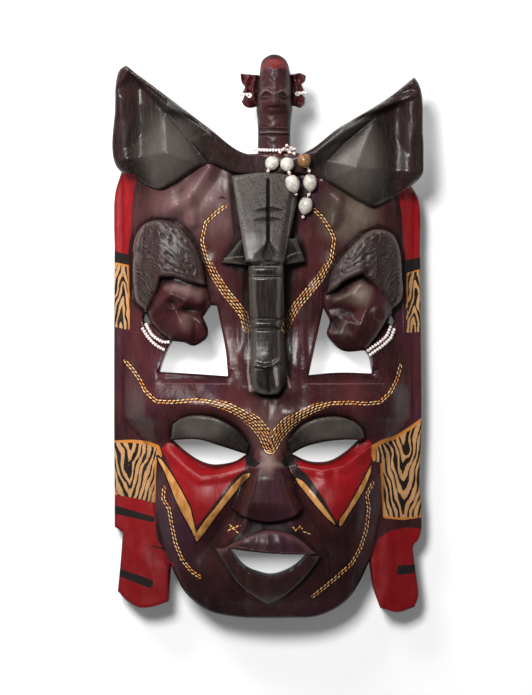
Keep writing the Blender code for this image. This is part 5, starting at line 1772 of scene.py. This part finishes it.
def floor_finish():
    """A pale floor that glows faintly under the mask, so that the holes look as in the photograph."""
    finish = Finish("pale_floor")
    tone = finish.mix(finish.noise((3, 3, 3), 2), (0.86, 0.86, 0.86, 1), (0.9, 0.9, 0.9, 1))
    finish.feed(finish.shader.inputs["Base Color"], tone)
    finish.shader.inputs["Roughness"].default_value = 0.9
    finish.shader.inputs["Specular IOR Level"].default_value = 0.1
    finish.shader.inputs["Emission Color"].default_value = (1, 1, 1, 1)
    split = finish.add("ShaderNodeSeparateXYZ")
    finish.feed(split.inputs[0], finish.place)
    across = finish.math("POWER", finish.math("DIVIDE", split.outputs[0], 0.085), 2.0)
    along = finish.math("DIVIDE", finish.plus(split.outputs[1], 0.035), 0.14)
    glow = finish.ramp(finish.plus(across, finish.math("POWER", along, 2.0)), 1.0, 0.7)
    tone = finish.add("ShaderNodeValToRGB")
    end = (GLOW_START + GLOW_LENGTH) * MM
    finish.feed(tone.inputs[0], finish.ramp(split.outputs[1], GLOW_START * MM, end))
    stops = tone.color_ramp.elements
    stops.remove(stops[1])
    for index, (place, light) in enumerate(GLOW):
        position = (place - GLOW_START) / GLOW_LENGTH
        position = position * position * (3 - 2 * position)  # as the ramp above bends it
        stop = stops.new(position) if index else stops[0]
        stop.position = position
        stop.color = (light, light, light, 1)
    glow = finish.plus(0.1, finish.times(glow, tone.outputs[0]))
    finish.feed(finish.shader.inputs["Emission Strength"], glow)
    return finish.material


def softbox(name, place, size, power):
    """A square light that faces the middle of the mask. Sizes in metres."""
    data = bpy.data.lights.new(name, "AREA")
    data.shape = "SQUARE"
    data.size = size
    data.energy = power
    made = bpy.data.objects.new(name, data)
    made.location = place
    made.rotation_euler = (Vector((0, 0, 0.03)) - Vector(place)).to_track_quat("-Z", "Y").to_euler()
    bpy.context.scene.collection.objects.link(made)


bm = bmesh.new()
bmesh.ops.create_grid(bm, x_segments=8, y_segments=8, size=3)
floor_mesh = bpy.data.meshes.new("floor")
bm.to_mesh(floor_mesh)
bm.free()
floor_mesh.materials.append(floor_finish())
floor = bpy.data.objects.new("floor", floor_mesh)
bpy.context.scene.collection.objects.link(floor)

softbox("key_light", (-0.3, 0.45, 1.25), 0.35, 20)
softbox("crown_light", (-0.6, 0.9, 0.6), 0.5, 9)

world = bpy.data.worlds.new("studio")
world.use_nodes = True
world.node_tree.nodes["Background"].inputs["Color"].default_value = (1, 1, 1, 1)
world.node_tree.nodes["Background"].inputs["Strength"].default_value = 0.12
bpy.context.scene.world = world
bpy.context.scene.view_settings.view_transform = "Standard"

camera = bpy.data.objects.new("camera", bpy.data.cameras.new("camera"))
camera.data.sensor_fit = "VERTICAL"
camera.data.sensor_height = SENSOR
camera.data.lens = LENS
distance = LENS * VIEW_HEIGHT / SENSOR
camera.location = (VIEW_CENTRE[0] * MM, VIEW_CENTRE[1] * MM, (VIEW_LEVEL + distance) * MM)
camera.data.clip_end = 20
bpy.context.scene.collection.objects.link(camera)
bpy.context.scene.camera = camera

bpy.context.view_layer.update()
